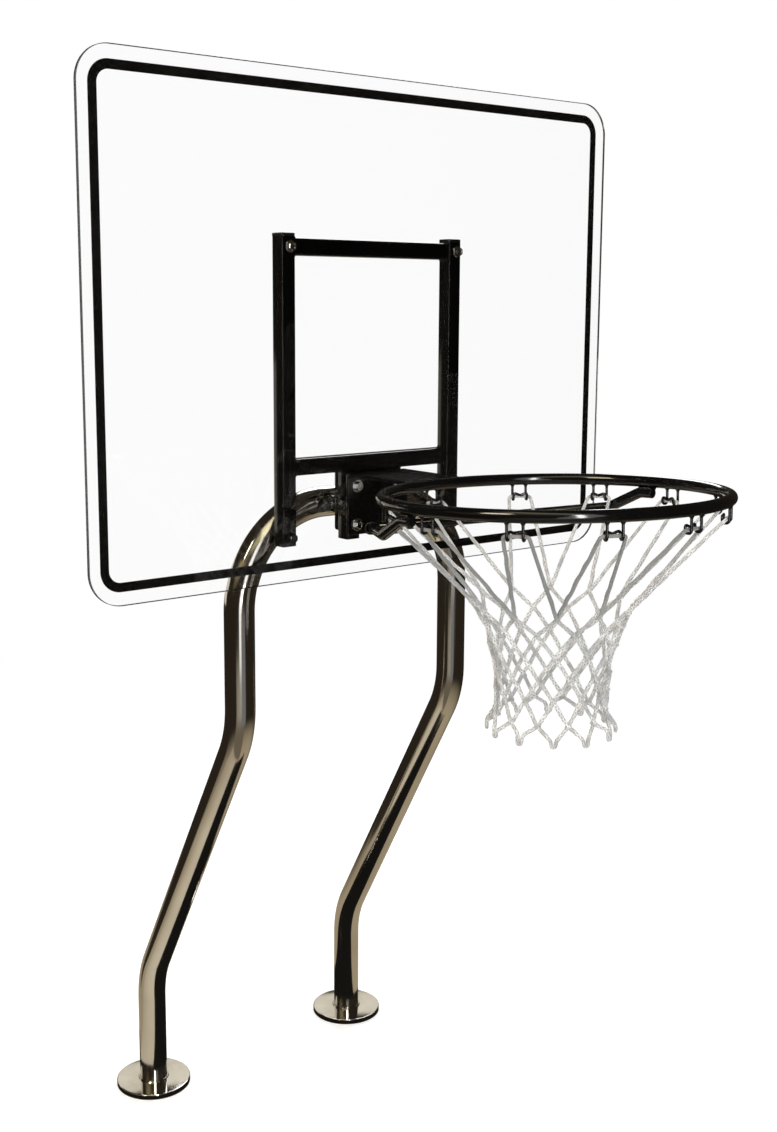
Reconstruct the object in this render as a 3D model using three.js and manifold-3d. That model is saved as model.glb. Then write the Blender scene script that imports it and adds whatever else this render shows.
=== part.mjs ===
// Poolside basketball hoop: two bent stainless legs, a clear backboard on a square-tube frame,
// a welded rim with bent-wire net hooks and a hanging net, and a loose flange round each leg.
// Millimetres, +Z up. The origin is midway between the two legs at deck level; -Y is the pool side.
import * as THREE from 'three';
import { ConvexHull } from 'three/addons/math/ConvexHull.js';
import { mergeVertices } from 'three/addons/utils/BufferGeometryUtils.js';
import Module from 'manifold-3d';

const wasm = await Module();
wasm.setup();

// Fits shared by all pieces.
const seatGap = 0.3; // left between pieces that are welded or that rest on each other
const holeClearance = 0.4; // all round a bolt in its hole
const slideClearance = 0.6; // all round a leg in its flange
const overrun = 2; // how far a cutting shape runs past what it cuts

// Legs: one bent tube on each side, meeting over an inner sleeve at the middle.
const tubeDiameter = 48.26;
const tubeWall = 1.65;
const legSpacing = 440;
const tubeBendRadius = 160;
const lowerBendHeight = 207.8;
const upperBendHeight = 723.4;
const boardSetback = 355.6; // from the legs' feet to the board's back face
const sleeveShare = 0.9; // of the straight run at the joint
const sleeveWall = 3;
const sleeveClearance = 0.5;

// Heights of the upper parts, all taken from the ring's.
const ringHeight = 1131.5;
const tubeBelowRing = 52.5;
const boardBelowRing = 162;
const crossbarAboveRing = 13.1;
const uprightBelowRing = 107.5;

// Flange at the foot of each leg.
const flangeDiameter = 130.8;
const flangeHeight = 9.5;
const flangeSheet = 2.4;
const flangeFillet = 3.2;
const flangeCrown = 1.2;
const collarWall = 1.8;
const collarHeight = 3;

// Backboard and the dark line round it.
const boardWidth = 1016;
const boardHeight = 762;
const boardThickness = 6.35;
const boardCorner = 51.5;
const stripeInset = 19.4;
const stripeWidth = 13.6;
const stripeThickness = 0.5;

// Frame of square tube behind the board.
const barSize = 25.4;
const barWall = 1.9;
const uprightSpacing = 330.2;
const uprightTail = 15.2; // above the upper crossbar's middle
const crossbarSpacing = 330.2;
const backPlateWidth = 109;
const backPlateThickness = 8;
const backPlateBelowTube = 43.6;
const capThickness = 5;
const capOverhang = 0.4;
const capPlugDepth = 10;
const capPlugClearance = 0.35;

// Bolts, nuts and washers.
const boltDiameter = 7.94;
const hexAcrossFlats = 12.7;
const boltHeadHeight = 5.6;
const nutHeight = 6.8;
const boltTail = 1;
const washerDiameter = 17.5;
const washerThickness = 1.6;
const rimBoltSpacingX = 84;
const rimBoltSpacingZ = 61;
const lowBoltInset = 14; // above the uprights' lower ends

// Rim.
const ringBore = 457.2;
const ringRod = 17;
const ringReach = 389.35; // from the board's front face to the ring's middle
const ringTilt = THREE.MathUtils.degToRad(-1.75); // front edge up
const rimPlateWidth = 121;
const rimPlateHeight = 98;
const rimPlateThickness = 5;
const rimPlateCorner = 5;
const topPlateThickness = 6;
const topPlateFrontWidth = 106;
const braceRod = 16;
const braceFootSpacing = 24;
const braceKneeSpacing = 444;
const braceKneeReach = 298; // in front of the board's back face
const braceKneeBelowRing = 45.5;
const braceLanding = 46; // behind the ring's middle, where the brace meets the rod
const braceEnd = 24; // behind the ring's middle, where the brace stops
const braceBend = 22;

// Net hooks, each one wire bent into two open loops and a dipped bar.
// They are welded on by eye, each at its own angle round the ring from the front, in degrees.
const hookPlaces = [2.75, 32, 59.5, 87.25, 117.05, 147.15, 184, 213, 242.5, 271.9, 302.75, 332.45];
const hookWire = 4;
const hookWidth = 20.6;
const hookDrop = 24; // below the rod's underside
const hookBarDrop = 11;
const hookBarDip = 4;
const hookBarBend = 2.5;

// Net: knotted cord in rows of diamonds, drawn in at a waist and open at both ends.
const cordDiameter = 5;
const knotShare = 1.25; // of the length at which two cords part company
const netLength = 335.5;
const netWaist = 152;
const netEyeWidth = 33;
const netEyeBend = 5;
const netTipBend = 7;
const netRowShares = [0.4515, 0.526, 0.6245, 0.723, 0.815, 0.9165]; // of the net's length
const netSpreadShares = [1.474, 1.263, 1.132, 1.04, 1, 1.04]; // of the waist
const netTipShare = 1.19;
const netTurn = THREE.MathUtils.degToRad(1.5); // its pull on the uneven hooks turns it round by this much

// Facets.
const tubeSides = 18;
const rodSides = 10;
const wireSides = 5;
const cordSides = 5;
const boltSides = 8;
const flangeSides = 32;
const ringSteps = 64;
const cornerSteps = 5;
const tubeBendSteps = 9; // in a right angle
const rodBendSteps = 6; // in a right angle
const wireBendSteps = 2; // in a right angle

// Places that several pieces share.
const tubeRadius = tubeDiameter / 2;
const ringRadius = (ringBore + ringRod) / 2;
const hookAngles = hookPlaces.map(THREE.MathUtils.degToRad);
const hookCount = hookAngles.length;
const netPitch = (2 * Math.PI) / hookCount;
const boardBack = -boardSetback;
const boardFront = boardBack - boardThickness;
const frameBack = boardBack + barSize;
const plateBack = frameBack + backPlateThickness;
const topTubeY = plateBack + seatGap + tubeRadius;
const topTubeHeight = ringHeight - tubeBelowRing;
const boardBottom = ringHeight - boardBelowRing;
const lowerBarHeight = ringHeight + crossbarAboveRing;
const upperBarHeight = lowerBarHeight + crossbarSpacing;
const uprightBottom = ringHeight - uprightBelowRing;
const uprightTop = upperBarHeight + uprightTail;
const lowerBarUnderside = lowerBarHeight - barSize / 2;
const rimPlateFront = boardFront - rimPlateThickness;
const ringY = boardFront - ringReach;
const ringRearHeight = ringHeight + ringRadius * Math.sin(ringTilt);
const rimPlateTop = ringRearHeight + topPlateThickness;
const rimPlateBottom = rimPlateTop - rimPlateHeight;
const boltHoleRadius = boltDiameter / 2 + holeClearance;

const boltPlaces = {
  upper_left: { x: -uprightSpacing / 2, z: upperBarHeight },
  upper_right: { x: uprightSpacing / 2, z: upperBarHeight },
  lower_left: { x: -uprightSpacing / 2, z: uprightBottom + lowBoltInset },
  lower_right: { x: uprightSpacing / 2, z: uprightBottom + lowBoltInset },
};
const rimBoltPlaces = {
  upper_left: { x: -rimBoltSpacingX / 2, z: topTubeHeight + rimBoltSpacingZ / 2 },
  upper_right: { x: rimBoltSpacingX / 2, z: topTubeHeight + rimBoltSpacingZ / 2 },
  lower_left: { x: -rimBoltSpacingX / 2, z: topTubeHeight - rimBoltSpacingZ / 2 },
  lower_right: { x: rimBoltSpacingX / 2, z: topTubeHeight - rimBoltSpacingZ / 2 },
};

// Materials.
const stainless = new THREE.MeshStandardMaterial({ color: 0xa39c8e, metalness: 1, roughness: 0.16 });
const zinc = new THREE.MeshStandardMaterial({ color: 0xc3c5c6, metalness: 1, roughness: 0.3 });
const blackSteel = new THREE.MeshStandardMaterial({ color: 0x0b0b0b, metalness: 0.2, roughness: 0.28 });
const acrylic = new THREE.MeshStandardMaterial({
  color: 0xf2f6f7, metalness: 0, roughness: 0.04, transparent: true, opacity: 0.2,
});
const blackLine = new THREE.MeshStandardMaterial({ color: 0x0a0a0b, metalness: 0, roughness: 0.45 });
const blackPlastic = new THREE.MeshStandardMaterial({ color: 0x111111, metalness: 0, roughness: 0.5 });
const whiteCord = new THREE.MeshStandardMaterial({ color: 0xe9e6da, metalness: 0, roughness: 0.9 });

const hoop = new THREE.Group();

function place(name, geometry, material, parent = hoop) {
  const mesh = new THREE.Mesh(geometry, material);
  mesh.name = name;
  parent.add(mesh);
  return mesh;
}

// Solids for cutting and joining.
function toSolid(geometry) {
  const bare = geometry.clone();
  bare.deleteAttribute('normal');
  bare.deleteAttribute('uv');
  const merged = mergeVertices(bare);
  return new wasm.Manifold(new wasm.Mesh({
    numProp: 3,
    vertProperties: new Float32Array(merged.attributes.position.array),
    triVerts: new Uint32Array(merged.index.array),
  }));
}

function toGeometry(solid) {
  const mesh = solid.getMesh();
  const geometry = new THREE.BufferGeometry();
  geometry.setAttribute('position', new THREE.BufferAttribute(mesh.vertProperties, 3));
  geometry.setIndex(new THREE.BufferAttribute(mesh.triVerts, 1));
  geometry.computeVertexNormals();
  return geometry;
}

function joined(geometries) {
  let solids = geometries.map(toSolid);
  while (solids.length > 1) {
    const next = [];
    for (let i = 0; i < solids.length; i += 2) {
      next.push(i + 1 < solids.length ? solids[i].add(solids[i + 1]) : solids[i]);
    }
    solids = next;
  }
  return solids[0];
}

// A curve through fixed points, with a section at each of them.
class Route extends THREE.Curve {
  constructor(points) {
    super();
    this.points = points;
  }

  getUtoTmapping(u) {
    return u;
  }

  getPoint(t, target = new THREE.Vector3()) {
    const last = this.points.length - 1;
    const i = Math.min(Math.floor(t * last + Number.EPSILON * last), last - 1);
    return target.lerpVectors(this.points[i], this.points[i + 1], t * last - i);
  }

  getTangent(t, target = new THREE.Vector3()) {
    const last = this.points.length - 1;
    const i = Math.round(t * last);
    const before = this.points[i].clone().sub(this.points[Math.max(i - 1, 0)]).normalize();
    const after = this.points[Math.min(i + 1, last)].clone().sub(this.points[i]).normalize();
    return target.copy(before).add(after).normalize();
  }
}

// Straight runs between corners, each corner rounded to its own radius.
function rounded(corners, stepsInRightAngle) {
  const out = [corners[0].at];
  for (let i = 1; i < corners.length - 1; i += 1) {
    const { at, bend } = corners[i];
    const back = corners[i - 1].at.clone().sub(at).normalize();
    const ahead = corners[i + 1].at.clone().sub(at).normalize();
    const turn = Math.PI - back.angleTo(ahead);
    const run = bend * Math.tan(turn / 2);
    const middle = back.clone().add(ahead).normalize().multiplyScalar(bend / Math.cos(turn / 2)).add(at);
    const start = back.clone().multiplyScalar(run).add(at).sub(middle);
    const axis = back.clone().cross(ahead).normalize().negate();
    const steps = Math.max(1, Math.round((turn / (Math.PI / 2)) * stepsInRightAngle));
    for (let k = 0; k <= steps; k += 1) {
      const point = start.clone().applyAxisAngle(axis, (turn * k) / steps).add(middle);
      if (out[out.length - 1].distanceTo(point) > bend * 1e-3) {
        out.push(point);
      }
    }
  }
  out.push(corners[corners.length - 1].at);
  return out;
}

function circle(radius, sides) {
  return Array.from({ length: sides }, (_, i) => {
    const angle = (2 * Math.PI * i) / sides;
    return new THREE.Vector2(radius * Math.cos(angle), radius * Math.sin(angle));
  });
}

function swept(points, radius, sides, bore = 0) {
  const section = new THREE.Shape(circle(radius, sides));
  if (bore > 0) {
    section.holes.push(new THREE.Path(circle(bore, sides)));
  }
  const path = new Route(points);
  return new THREE.ExtrudeGeometry(section, { steps: points.length - 1, extrudePath: path, bevelEnabled: false });
}

function cornered(x, y, z, bend = 0) {
  return { at: new THREE.Vector3(x, y, z), bend };
}

// A rectangle in the XZ plane with rounded corners, and the same laid out flat for a plate.
function roundedRectangle(width, height, corner) {
  const shape = new THREE.Shape();
  const points = [];
  const centres = [[1, 1], [-1, 1], [-1, -1], [1, -1]];
  centres.forEach(([sx, sz], quarter) => {
    for (let k = 0; k <= cornerSteps; k += 1) {
      const angle = (Math.PI / 2) * (quarter + k / cornerSteps);
      points.push(new THREE.Vector2(
        sx * (width / 2 - corner) + corner * Math.cos(angle),
        sz * (height / 2 - corner) + corner * Math.sin(angle),
      ));
    }
  });
  shape.setFromPoints(points);
  return shape;
}

function holeAt(x, z, radius) {
  return new THREE.Path(circle(radius, boltSides).map((p) => new THREE.Vector2(p.x + x, p.y + z)));
}

// A flat plate standing in the XZ plane, its back face at y = back and its middle at (0, back, height).
function standingPlate(shape, thickness, back, height) {
  const geometry = new THREE.ExtrudeGeometry(shape, { depth: thickness, bevelEnabled: false });
  geometry.rotateX(Math.PI / 2);
  geometry.translate(0, back, height);
  return geometry;
}

// Legs and the sleeve inside their joint.
function legGeometry(side) {
  const x = (side * legSpacing) / 2;
  const route = rounded([
    cornered(x, 0, 0),
    cornered(x, 0, lowerBendHeight, tubeBendRadius),
    cornered(x, topTubeY, upperBendHeight, tubeBendRadius),
    cornered(x, topTubeY, topTubeHeight, tubeBendRadius),
    cornered((side * seatGap) / 2, topTubeY, topTubeHeight),
  ], tubeBendSteps);
  return swept(route, tubeRadius, tubeSides, tubeRadius - tubeWall);
}

place('left_leg', legGeometry(-1), stainless);
place('right_leg', legGeometry(1), stainless);

const sleeveRadius = tubeRadius - tubeWall - sleeveClearance;
const sleeveHalf = (legSpacing / 2 - tubeBendRadius) * sleeveShare;
place('splice_sleeve', swept([
  new THREE.Vector3(-sleeveHalf, topTubeY, topTubeHeight),
  new THREE.Vector3(sleeveHalf, topTubeY, topTubeHeight),
], sleeveRadius, tubeSides, sleeveRadius - sleeveWall), stainless);

// Flanges: a spun cap with a rolled edge and a short collar, open below, loose round the leg.
function flangeGeometry() {
  const bore = tubeRadius + slideClearance;
  const rim = flangeDiameter / 2;
  const inside = rim - flangeSheet;
  const shoulder = flangeHeight - flangeSheet;
  const profile = [new THREE.Vector2(inside, 0), new THREE.Vector2(rim, 0)];
  for (let k = 0; k <= cornerSteps; k += 1) {
    const angle = (Math.PI / 2) * (k / cornerSteps);
    profile.push(new THREE.Vector2(
      rim - flangeFillet + flangeFillet * Math.cos(angle),
      flangeHeight - flangeFillet + flangeFillet * Math.sin(angle),
    ));
  }
  profile.push(
    new THREE.Vector2(bore + collarWall, flangeHeight + flangeCrown),
    new THREE.Vector2(bore + collarWall, flangeHeight + flangeCrown + collarHeight),
    new THREE.Vector2(bore, flangeHeight + flangeCrown + collarHeight),
    new THREE.Vector2(bore, shoulder + flangeCrown),
    new THREE.Vector2(inside, shoulder),
    new THREE.Vector2(inside, 0),
  );
  const geometry = new THREE.LatheGeometry(profile, flangeSides);
  geometry.rotateX(Math.PI / 2);
  return geometry;
}

place('left_escutcheon', flangeGeometry(), stainless).position.x = -legSpacing / 2;
place('right_escutcheon', flangeGeometry(), stainless).position.x = legSpacing / 2;

// Frame: hollow square bars, drilled where bolts pass.
function block(sizeX, sizeY, sizeZ, x, y, z) {
  return new THREE.BoxGeometry(sizeX, sizeY, sizeZ).translate(x, y, z);
}

function drill(x, z) {
  const length = boardThickness + barSize + backPlateThickness + 2 * overrun;
  const geometry = new THREE.CylinderGeometry(boltHoleRadius, boltHoleRadius, length, boltSides);
  return toSolid(geometry.translate(x, boardFront + length / 2 - overrun, z));
}

const frameY = boardBack + barSize / 2;
const boreSize = barSize - 2 * barWall;

function verticalBar(x, bottom, top, holes) {
  const middle = (bottom + top) / 2;
  const length = top - bottom;
  let solid = toSolid(block(barSize, barSize, length, x, frameY, middle));
  solid = solid.subtract(toSolid(block(boreSize, boreSize, length + 2 * overrun, x, frameY, middle)));
  holes.forEach((hole) => {
    solid = solid.subtract(drill(hole.x, hole.z));
  });
  return toGeometry(solid);
}

function crossbar(height) {
  const length = uprightSpacing - barSize;
  const outer = toSolid(block(length, barSize, barSize, 0, frameY, height));
  const bore = toSolid(block(length + 2 * overrun, boreSize, boreSize, 0, frameY, height));
  return toGeometry(outer.subtract(bore));
}

const capBottom = uprightTop;
function capGeometry(x) {
  const lid = barSize + 2 * capOverhang;
  const plug = boreSize - 2 * capPlugClearance;
  return toGeometry(joined([
    block(lid, lid, capThickness, x, frameY + capOverhang, capBottom + capThickness / 2),
    block(plug, plug, capPlugDepth + capThickness / 2, x, frameY, capBottom + (capThickness / 2 - capPlugDepth) / 2),
  ]));
}

for (const [name, side] of [['left', -1], ['right', 1]]) {
  const x = (side * uprightSpacing) / 2;
  const own = [boltPlaces[`upper_${name}`], boltPlaces[`lower_${name}`]];
  place(`${name}_upright`, verticalBar(x, uprightBottom, uprightTop, own), blackSteel);
  place(`${name}_upright_cap`, capGeometry(x), blackPlastic);
  const stubHoles = [rimBoltPlaces[`upper_${name}`], rimBoltPlaces[`lower_${name}`]];
  const stubX = (side * rimBoltSpacingX) / 2;
  place(`${name}_stub`, verticalBar(stubX, uprightBottom, lowerBarUnderside, stubHoles), blackSteel);
}
place('upper_crossbar', crossbar(upperBarHeight), blackSteel);
place('lower_crossbar', crossbar(lowerBarHeight), blackSteel);

// Backing plate: behind the stubs, welded to the legs' top tube.
const backPlateBottom = topTubeHeight - backPlateBelowTube;
const backPlateMiddle = (backPlateBottom + lowerBarUnderside) / 2;
const backPlateShape = roundedRectangle(backPlateWidth, lowerBarUnderside - backPlateBottom, rimPlateCorner);
Object.values(rimBoltPlaces).forEach((hole) => {
  backPlateShape.holes.push(holeAt(hole.x, hole.z - backPlateMiddle, boltHoleRadius));
});
place('backing_plate', standingPlate(backPlateShape, backPlateThickness, plateBack, backPlateMiddle), blackSteel);

// Backboard, and the line printed round it on its back face.
const boardMiddle = boardBottom + boardHeight / 2;
const boardShape = roundedRectangle(boardWidth, boardHeight, boardCorner);
[...Object.values(boltPlaces), ...Object.values(rimBoltPlaces)].forEach((hole) => {
  boardShape.holes.push(holeAt(hole.x, hole.z - boardMiddle, boltHoleRadius));
});
place('backboard', standingPlate(boardShape, boardThickness, boardBack, boardMiddle), acrylic);

function inset(distance) {
  return roundedRectangle(boardWidth - 2 * distance, boardHeight - 2 * distance, boardCorner - distance);
}
const stripeShape = inset(stripeInset);
stripeShape.holes.push(new THREE.Path(inset(stripeInset + stripeWidth).getPoints()));
const stripeBack = boardBack + stripeThickness;
place('border_line', standingPlate(stripeShape, stripeThickness, stripeBack, boardMiddle), blackLine);

// Fasteners: a hexagon bolt from the front with a washer under its head, and a nut at the back.
const hexRadius = hexAcrossFlats / Math.sqrt(3);

function boltGeometry(face, back) {
  const under = face - washerThickness;
  const tip = back + nutHeight + boltTail;
  const head = new THREE.CylinderGeometry(hexRadius, hexRadius, boltHeadHeight, 6);
  const shank = new THREE.CylinderGeometry(
    boltDiameter / 2,
    boltDiameter / 2,
    tip - under + boltHeadHeight / 2,
    boltSides,
  );
  return toGeometry(joined([
    head.translate(0, under - boltHeadHeight / 2, 0),
    shank.translate(0, (tip + under - boltHeadHeight / 2) / 2, 0),
  ]));
}

function washerGeometry(face) {
  const shape = new THREE.Shape(circle(washerDiameter / 2, 2 * boltSides));
  shape.holes.push(holeAt(0, 0, boltHoleRadius));
  return standingPlate(shape, washerThickness, face, 0);
}

function nutGeometry(back) {
  const shape = new THREE.Shape(circle(hexRadius, 6));
  shape.holes.push(holeAt(0, 0, boltDiameter / 2 + seatGap));
  return standingPlate(shape, nutHeight, back + nutHeight, 0);
}

function fasten(kind, places, face, back, finishes) {
  Object.entries(places).forEach(([name, { x, z }]) => {
    const finish = finishes[name.split('_')[0]];
    place(`${kind}_bolt_${name}`, boltGeometry(face, back), finish).position.set(x, 0, z);
    place(`${kind}_washer_${name}`, washerGeometry(face), finish).position.set(x, 0, z);
    place(`${kind}_nut_${name}`, nutGeometry(back), finish).position.set(x, 0, z);
  });
}

fasten('board', boltPlaces, boardFront, frameBack, { upper: zinc, lower: blackSteel });
fasten('rim', rimBoltPlaces, rimPlateFront, plateBack, { upper: zinc, lower: zinc });

// Rim: the plate on the board, the flat plate out to the ring, the ring and its two braces.
const rimPlateMiddle = (rimPlateTop + rimPlateBottom) / 2;
const rimPlateShape = roundedRectangle(rimPlateWidth, rimPlateHeight, rimPlateCorner);
Object.values(rimBoltPlaces).forEach((hole) => {
  rimPlateShape.holes.push(holeAt(hole.x, hole.z - rimPlateMiddle, boltHoleRadius));
});
place('rim_plate', standingPlate(rimPlateShape, rimPlateThickness, boardFront, rimPlateMiddle), blackSteel);

function topPlateGeometry() {
  const edge = ringRadius + ringRod / 2 + seatGap;
  const reach = Math.asin(topPlateFrontWidth / 2 / edge);
  const points = [
    new THREE.Vector2(-rimPlateWidth / 2 + rimPlateCorner, rimPlateFront),
  ];
  const arcSteps = 2 * cornerSteps;
  for (let k = 0; k <= arcSteps; k += 1) {
    const angle = reach * ((2 * k) / arcSteps - 1);
    points.push(new THREE.Vector2(edge * Math.sin(angle), ringY + edge * Math.cos(angle)));
  }
  points.push(new THREE.Vector2(rimPlateWidth / 2 - rimPlateCorner, rimPlateFront));
  const geometry = new THREE.ExtrudeGeometry(new THREE.Shape(points), {
    depth: topPlateThickness,
    bevelEnabled: false,
  });
  return geometry.translate(0, 0, ringRearHeight);
}
place('rim_top_plate', topPlateGeometry(), blackSteel);

// A point one rod's width under the ring, at a distance behind the ring's middle.
function underRing(behind, side, bend) {
  const x = Math.sqrt(ringRadius * ringRadius - behind * behind);
  const z = ringHeight + behind * Math.sin(ringTilt) - (ringRod + braceRod) / 2 - seatGap;
  return cornered(side * x, ringY + behind, z, bend);
}

function braceGeometry(side) {
  const foot = new THREE.Vector3((side * braceFootSpacing) / 2, rimPlateFront, rimPlateBottom + braceRod / 2);
  const knee = new THREE.Vector3(
    (side * braceKneeSpacing) / 2,
    boardBack - braceKneeReach,
    ringHeight - braceKneeBelowRing,
  );
  const start = foot.clone().sub(knee).normalize().multiplyScalar(braceRod).add(foot);
  const rod = swept(rounded([
    { at: start, bend: 0 },
    { at: knee, bend: braceBend },
    underRing(braceLanding, side, braceBend),
    underRing(braceEnd, side, 0),
  ], rodBendSteps), braceRod / 2, rodSides);
  const depth = 2 * braceRod;
  const cutter = block(
    rimPlateWidth,
    depth,
    rimPlateHeight + depth,
    0,
    rimPlateFront - seatGap + depth / 2,
    rimPlateMiddle,
  );
  return toGeometry(toSolid(rod).subtract(toSolid(cutter)));
}
place('left_brace', braceGeometry(-1), blackSteel);
place('right_brace', braceGeometry(1), blackSteel);

const ring = new THREE.Group();
ring.position.set(0, ringY, ringHeight);
ring.rotation.x = ringTilt;
hoop.add(ring);
place('rim_ring', new THREE.TorusGeometry(ringRadius, ringRod / 2, rodSides, ringSteps), blackSteel, ring);

// Net hooks: down from the rod, round under the cord, up to a dipped bar and back the same way.
const loopRadius = (cordDiameter + hookWire) / 2 + seatGap;
const rodBottom = -ringRod / 2;
const hookBottom = rodBottom - hookDrop + hookWire / 2;

function hookGeometry() {
  const outer = -ringRadius;
  const inner = outer + 2 * loopRadius;
  const half = hookWidth / 2;
  const bar = rodBottom - hookBarDrop;
  const corners = [
    cornered(-half, outer, rodBottom - seatGap),
    cornered(-half, outer, hookBottom, loopRadius),
    cornered(-half, inner, hookBottom, loopRadius),
    cornered(-half, inner, bar, hookBarBend),
    cornered(0, inner, bar - hookBarDip, hookBarBend),
    cornered(half, inner, bar, hookBarBend),
    cornered(half, inner, hookBottom, loopRadius),
    cornered(half, outer, hookBottom, loopRadius),
    cornered(half, outer, rodBottom - seatGap),
  ];
  return swept(rounded(corners, wireBendSteps), hookWire / 2, wireSides);
}

hookAngles.forEach((angle, i) => {
  const number = String(i + 1).padStart(2, '0');
  place(`net_hook_${number}`, hookGeometry(), blackSteel, ring).rotation.z = angle;
});

// Net. Its eyes lie in the hooks, and its rows hang level below, each knot between the two above.
function knotAngle(row, i) {
  return netTurn + (row % 2 === 0 ? i + 1 / 2 : i) * netPitch;
}

function around(angle, radius, z) {
  return new THREE.Vector3(radius * Math.sin(angle), ringY - radius * Math.cos(angle), z);
}

function knotPlace(row, i) {
  const radius = (netSpreadShares[row] * netWaist) / 2;
  return around(knotAngle(row, i), radius, ringHeight - netRowShares[row] * netLength);
}

ring.updateMatrixWorld(true);
function eyeCorner(i, side) {
  const seat = new THREE.Vector3((side * netEyeWidth) / 2, loopRadius - ringRadius, hookBottom + loopRadius);
  seat.applyAxisAngle(new THREE.Vector3(0, 0, 1), hookAngles[i]);
  return ring.localToWorld(seat);
}

// The net is one skin. Each cord is a sleeve from knot to knot, and each knot is wrapped round its cords' ends.
function netCords() {
  const cords = [];
  const lastRow = netRowShares.length - 1;
  for (let i = 0; i < hookCount; i += 1) {
    const over = (i + hookCount - 1) % hookCount;
    cords.push({
      ends: [[0, over], [0, i]],
      points: rounded([
        { at: knotPlace(0, i - 1) },
        { at: eyeCorner(i, -1), bend: netEyeBend },
        { at: eyeCorner(i, 1), bend: netEyeBend },
        { at: knotPlace(0, i) },
      ], wireBendSteps),
    });
    for (let row = 0; row < lastRow; row += 1) {
      const next = row % 2 === 0 ? i + 1 : i - 1;
      [i, next].forEach((below) => {
        cords.push({
          ends: [[row, i], [row + 1, (below + hookCount) % hookCount]],
          points: [knotPlace(row, i), knotPlace(row + 1, below)],
        });
      });
    }
    const tipAngle = knotAngle(lastRow + 1, i);
    const next = lastRow % 2 === 0 ? i - 1 : i + 1;
    cords.push({
      ends: [[lastRow, (next + hookCount) % hookCount], [lastRow, i]],
      points: rounded([
        { at: knotPlace(lastRow, next) },
        { at: around(tipAngle, (netTipShare * netWaist) / 2, ringHeight - netLength), bend: netTipBend },
        { at: knotPlace(lastRow, i) },
      ], wireBendSteps),
    });
  }
  return cords;
}

function cordSection(at, along, flat) {
  const side = flat.clone().cross(along).normalize();
  const up = along.clone().cross(side).normalize();
  return circle(cordDiameter / 2, cordSides).map((p) => (
    at.clone().addScaledVector(side, p.x).addScaledVector(up, p.y)
  ));
}

function netGeometry() {
  const cords = netCords();
  const knots = new Map();
  cords.forEach((cord) => {
    const inward = cord.points.slice().reverse();
    [cord.points, inward].forEach((points, end) => {
      const key = cord.ends[end].join();
      const direction = points[1].clone().sub(points[0]).normalize();
      knots.set(key, [...(knots.get(key) || []), { cord, end, direction }]);
    });
  });
  knots.forEach((ends) => {
    ends.forEach((one) => {
      const angles = ends.filter((other) => other !== one).map((other) => one.direction.angleTo(other.direction));
      const reach = (knotShare * cordDiameter) / 2 / Math.tan(Math.min(...angles, Math.PI / 2) / 2);
      const at = one.end === 0 ? 0 : one.cord.points.length - 1;
      one.at = at;
      one.moved = one.cord.points[at].clone().addScaledVector(one.direction, reach);
    });
  });
  const corners = [];
  knots.forEach((ends) => ends.forEach((one) => {
    one.cord.points[one.at] = one.moved;
  }));
  cords.forEach((cord) => {
    const { points } = cord;
    const last = points.length - 1;
    const runs = points.slice(1).map((point, k) => point.clone().sub(points[k]).normalize());
    const middle = points[0].clone().add(points[last]).multiplyScalar(1 / 2);
    const flat = last > 1
      ? runs[0].clone().cross(runs[last - 1])
      : new THREE.Vector3(middle.x, middle.y - ringY, 0);
    flat.normalize();
    cord.rings = points.map((point, k) => {
      const along = runs[Math.max(k - 1, 0)].clone().add(runs[Math.min(k, last - 1)]).normalize();
      return cordSection(point, along, flat);
    });
    for (let k = 0; k < last; k += 1) {
      const [a, b] = [cord.rings[k], cord.rings[k + 1]];
      for (let j = 0; j < cordSides; j += 1) {
        const n = (j + 1) % cordSides;
        corners.push(a[j], a[n], b[n], a[j], b[n], b[j]);
      }
    }
  });
  knots.forEach((ends) => {
    const owner = new Map();
    ends.forEach((one, k) => {
      one.cord.rings[one.at].forEach((corner) => owner.set(corner, k));
    });
    new ConvexHull().setFromPoints([...owner.keys()]).faces.forEach((face) => {
      const three = [face.edge, face.edge.next, face.edge.next.next].map((edge) => edge.head().point);
      if (new Set(three.map((corner) => owner.get(corner))).size > 1) {
        corners.push(...three);
      }
    });
  });
  const skin = new THREE.BufferGeometry().setFromPoints(corners);
  const geometry = mergeVertices(skin, Number.EPSILON);
  geometry.computeVertexNormals();
  return geometry;
}
place('net', netGeometry(), whiteCord);

export default hoop;
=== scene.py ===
import math

import bmesh
import bpy
from mathutils import Matrix, Vector, noise


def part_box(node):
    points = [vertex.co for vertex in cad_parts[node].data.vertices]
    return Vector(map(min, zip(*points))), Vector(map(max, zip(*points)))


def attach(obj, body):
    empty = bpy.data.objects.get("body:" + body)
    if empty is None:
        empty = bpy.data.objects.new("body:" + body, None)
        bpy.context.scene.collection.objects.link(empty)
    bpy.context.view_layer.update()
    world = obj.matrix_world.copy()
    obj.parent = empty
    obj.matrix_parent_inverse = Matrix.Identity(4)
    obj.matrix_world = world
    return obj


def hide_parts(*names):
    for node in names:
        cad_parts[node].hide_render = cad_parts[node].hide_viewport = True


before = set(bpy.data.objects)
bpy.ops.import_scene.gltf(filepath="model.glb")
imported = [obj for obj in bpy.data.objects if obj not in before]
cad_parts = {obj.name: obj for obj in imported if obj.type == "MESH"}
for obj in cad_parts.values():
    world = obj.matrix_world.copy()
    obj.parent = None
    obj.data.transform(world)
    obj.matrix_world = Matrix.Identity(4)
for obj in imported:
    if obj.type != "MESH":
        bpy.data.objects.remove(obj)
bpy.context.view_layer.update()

# Legs. Each is one length of stainless tube, bent three times on a mandrel and mirror polished.
# They stand in the deck, lean out over the water and meet end to end behind the board.
TUBE_RADIUS = 0.02413
TUBE_WALL = 0.00165
TUBE_BEND = 0.16
TUBE_SIDES = 64
LEG_X = 0.22
LOWER_BEND_Z = 0.2078
UPPER_BEND_Z = 0.7234
TOP_TUBE_Y = -0.29777
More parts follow.
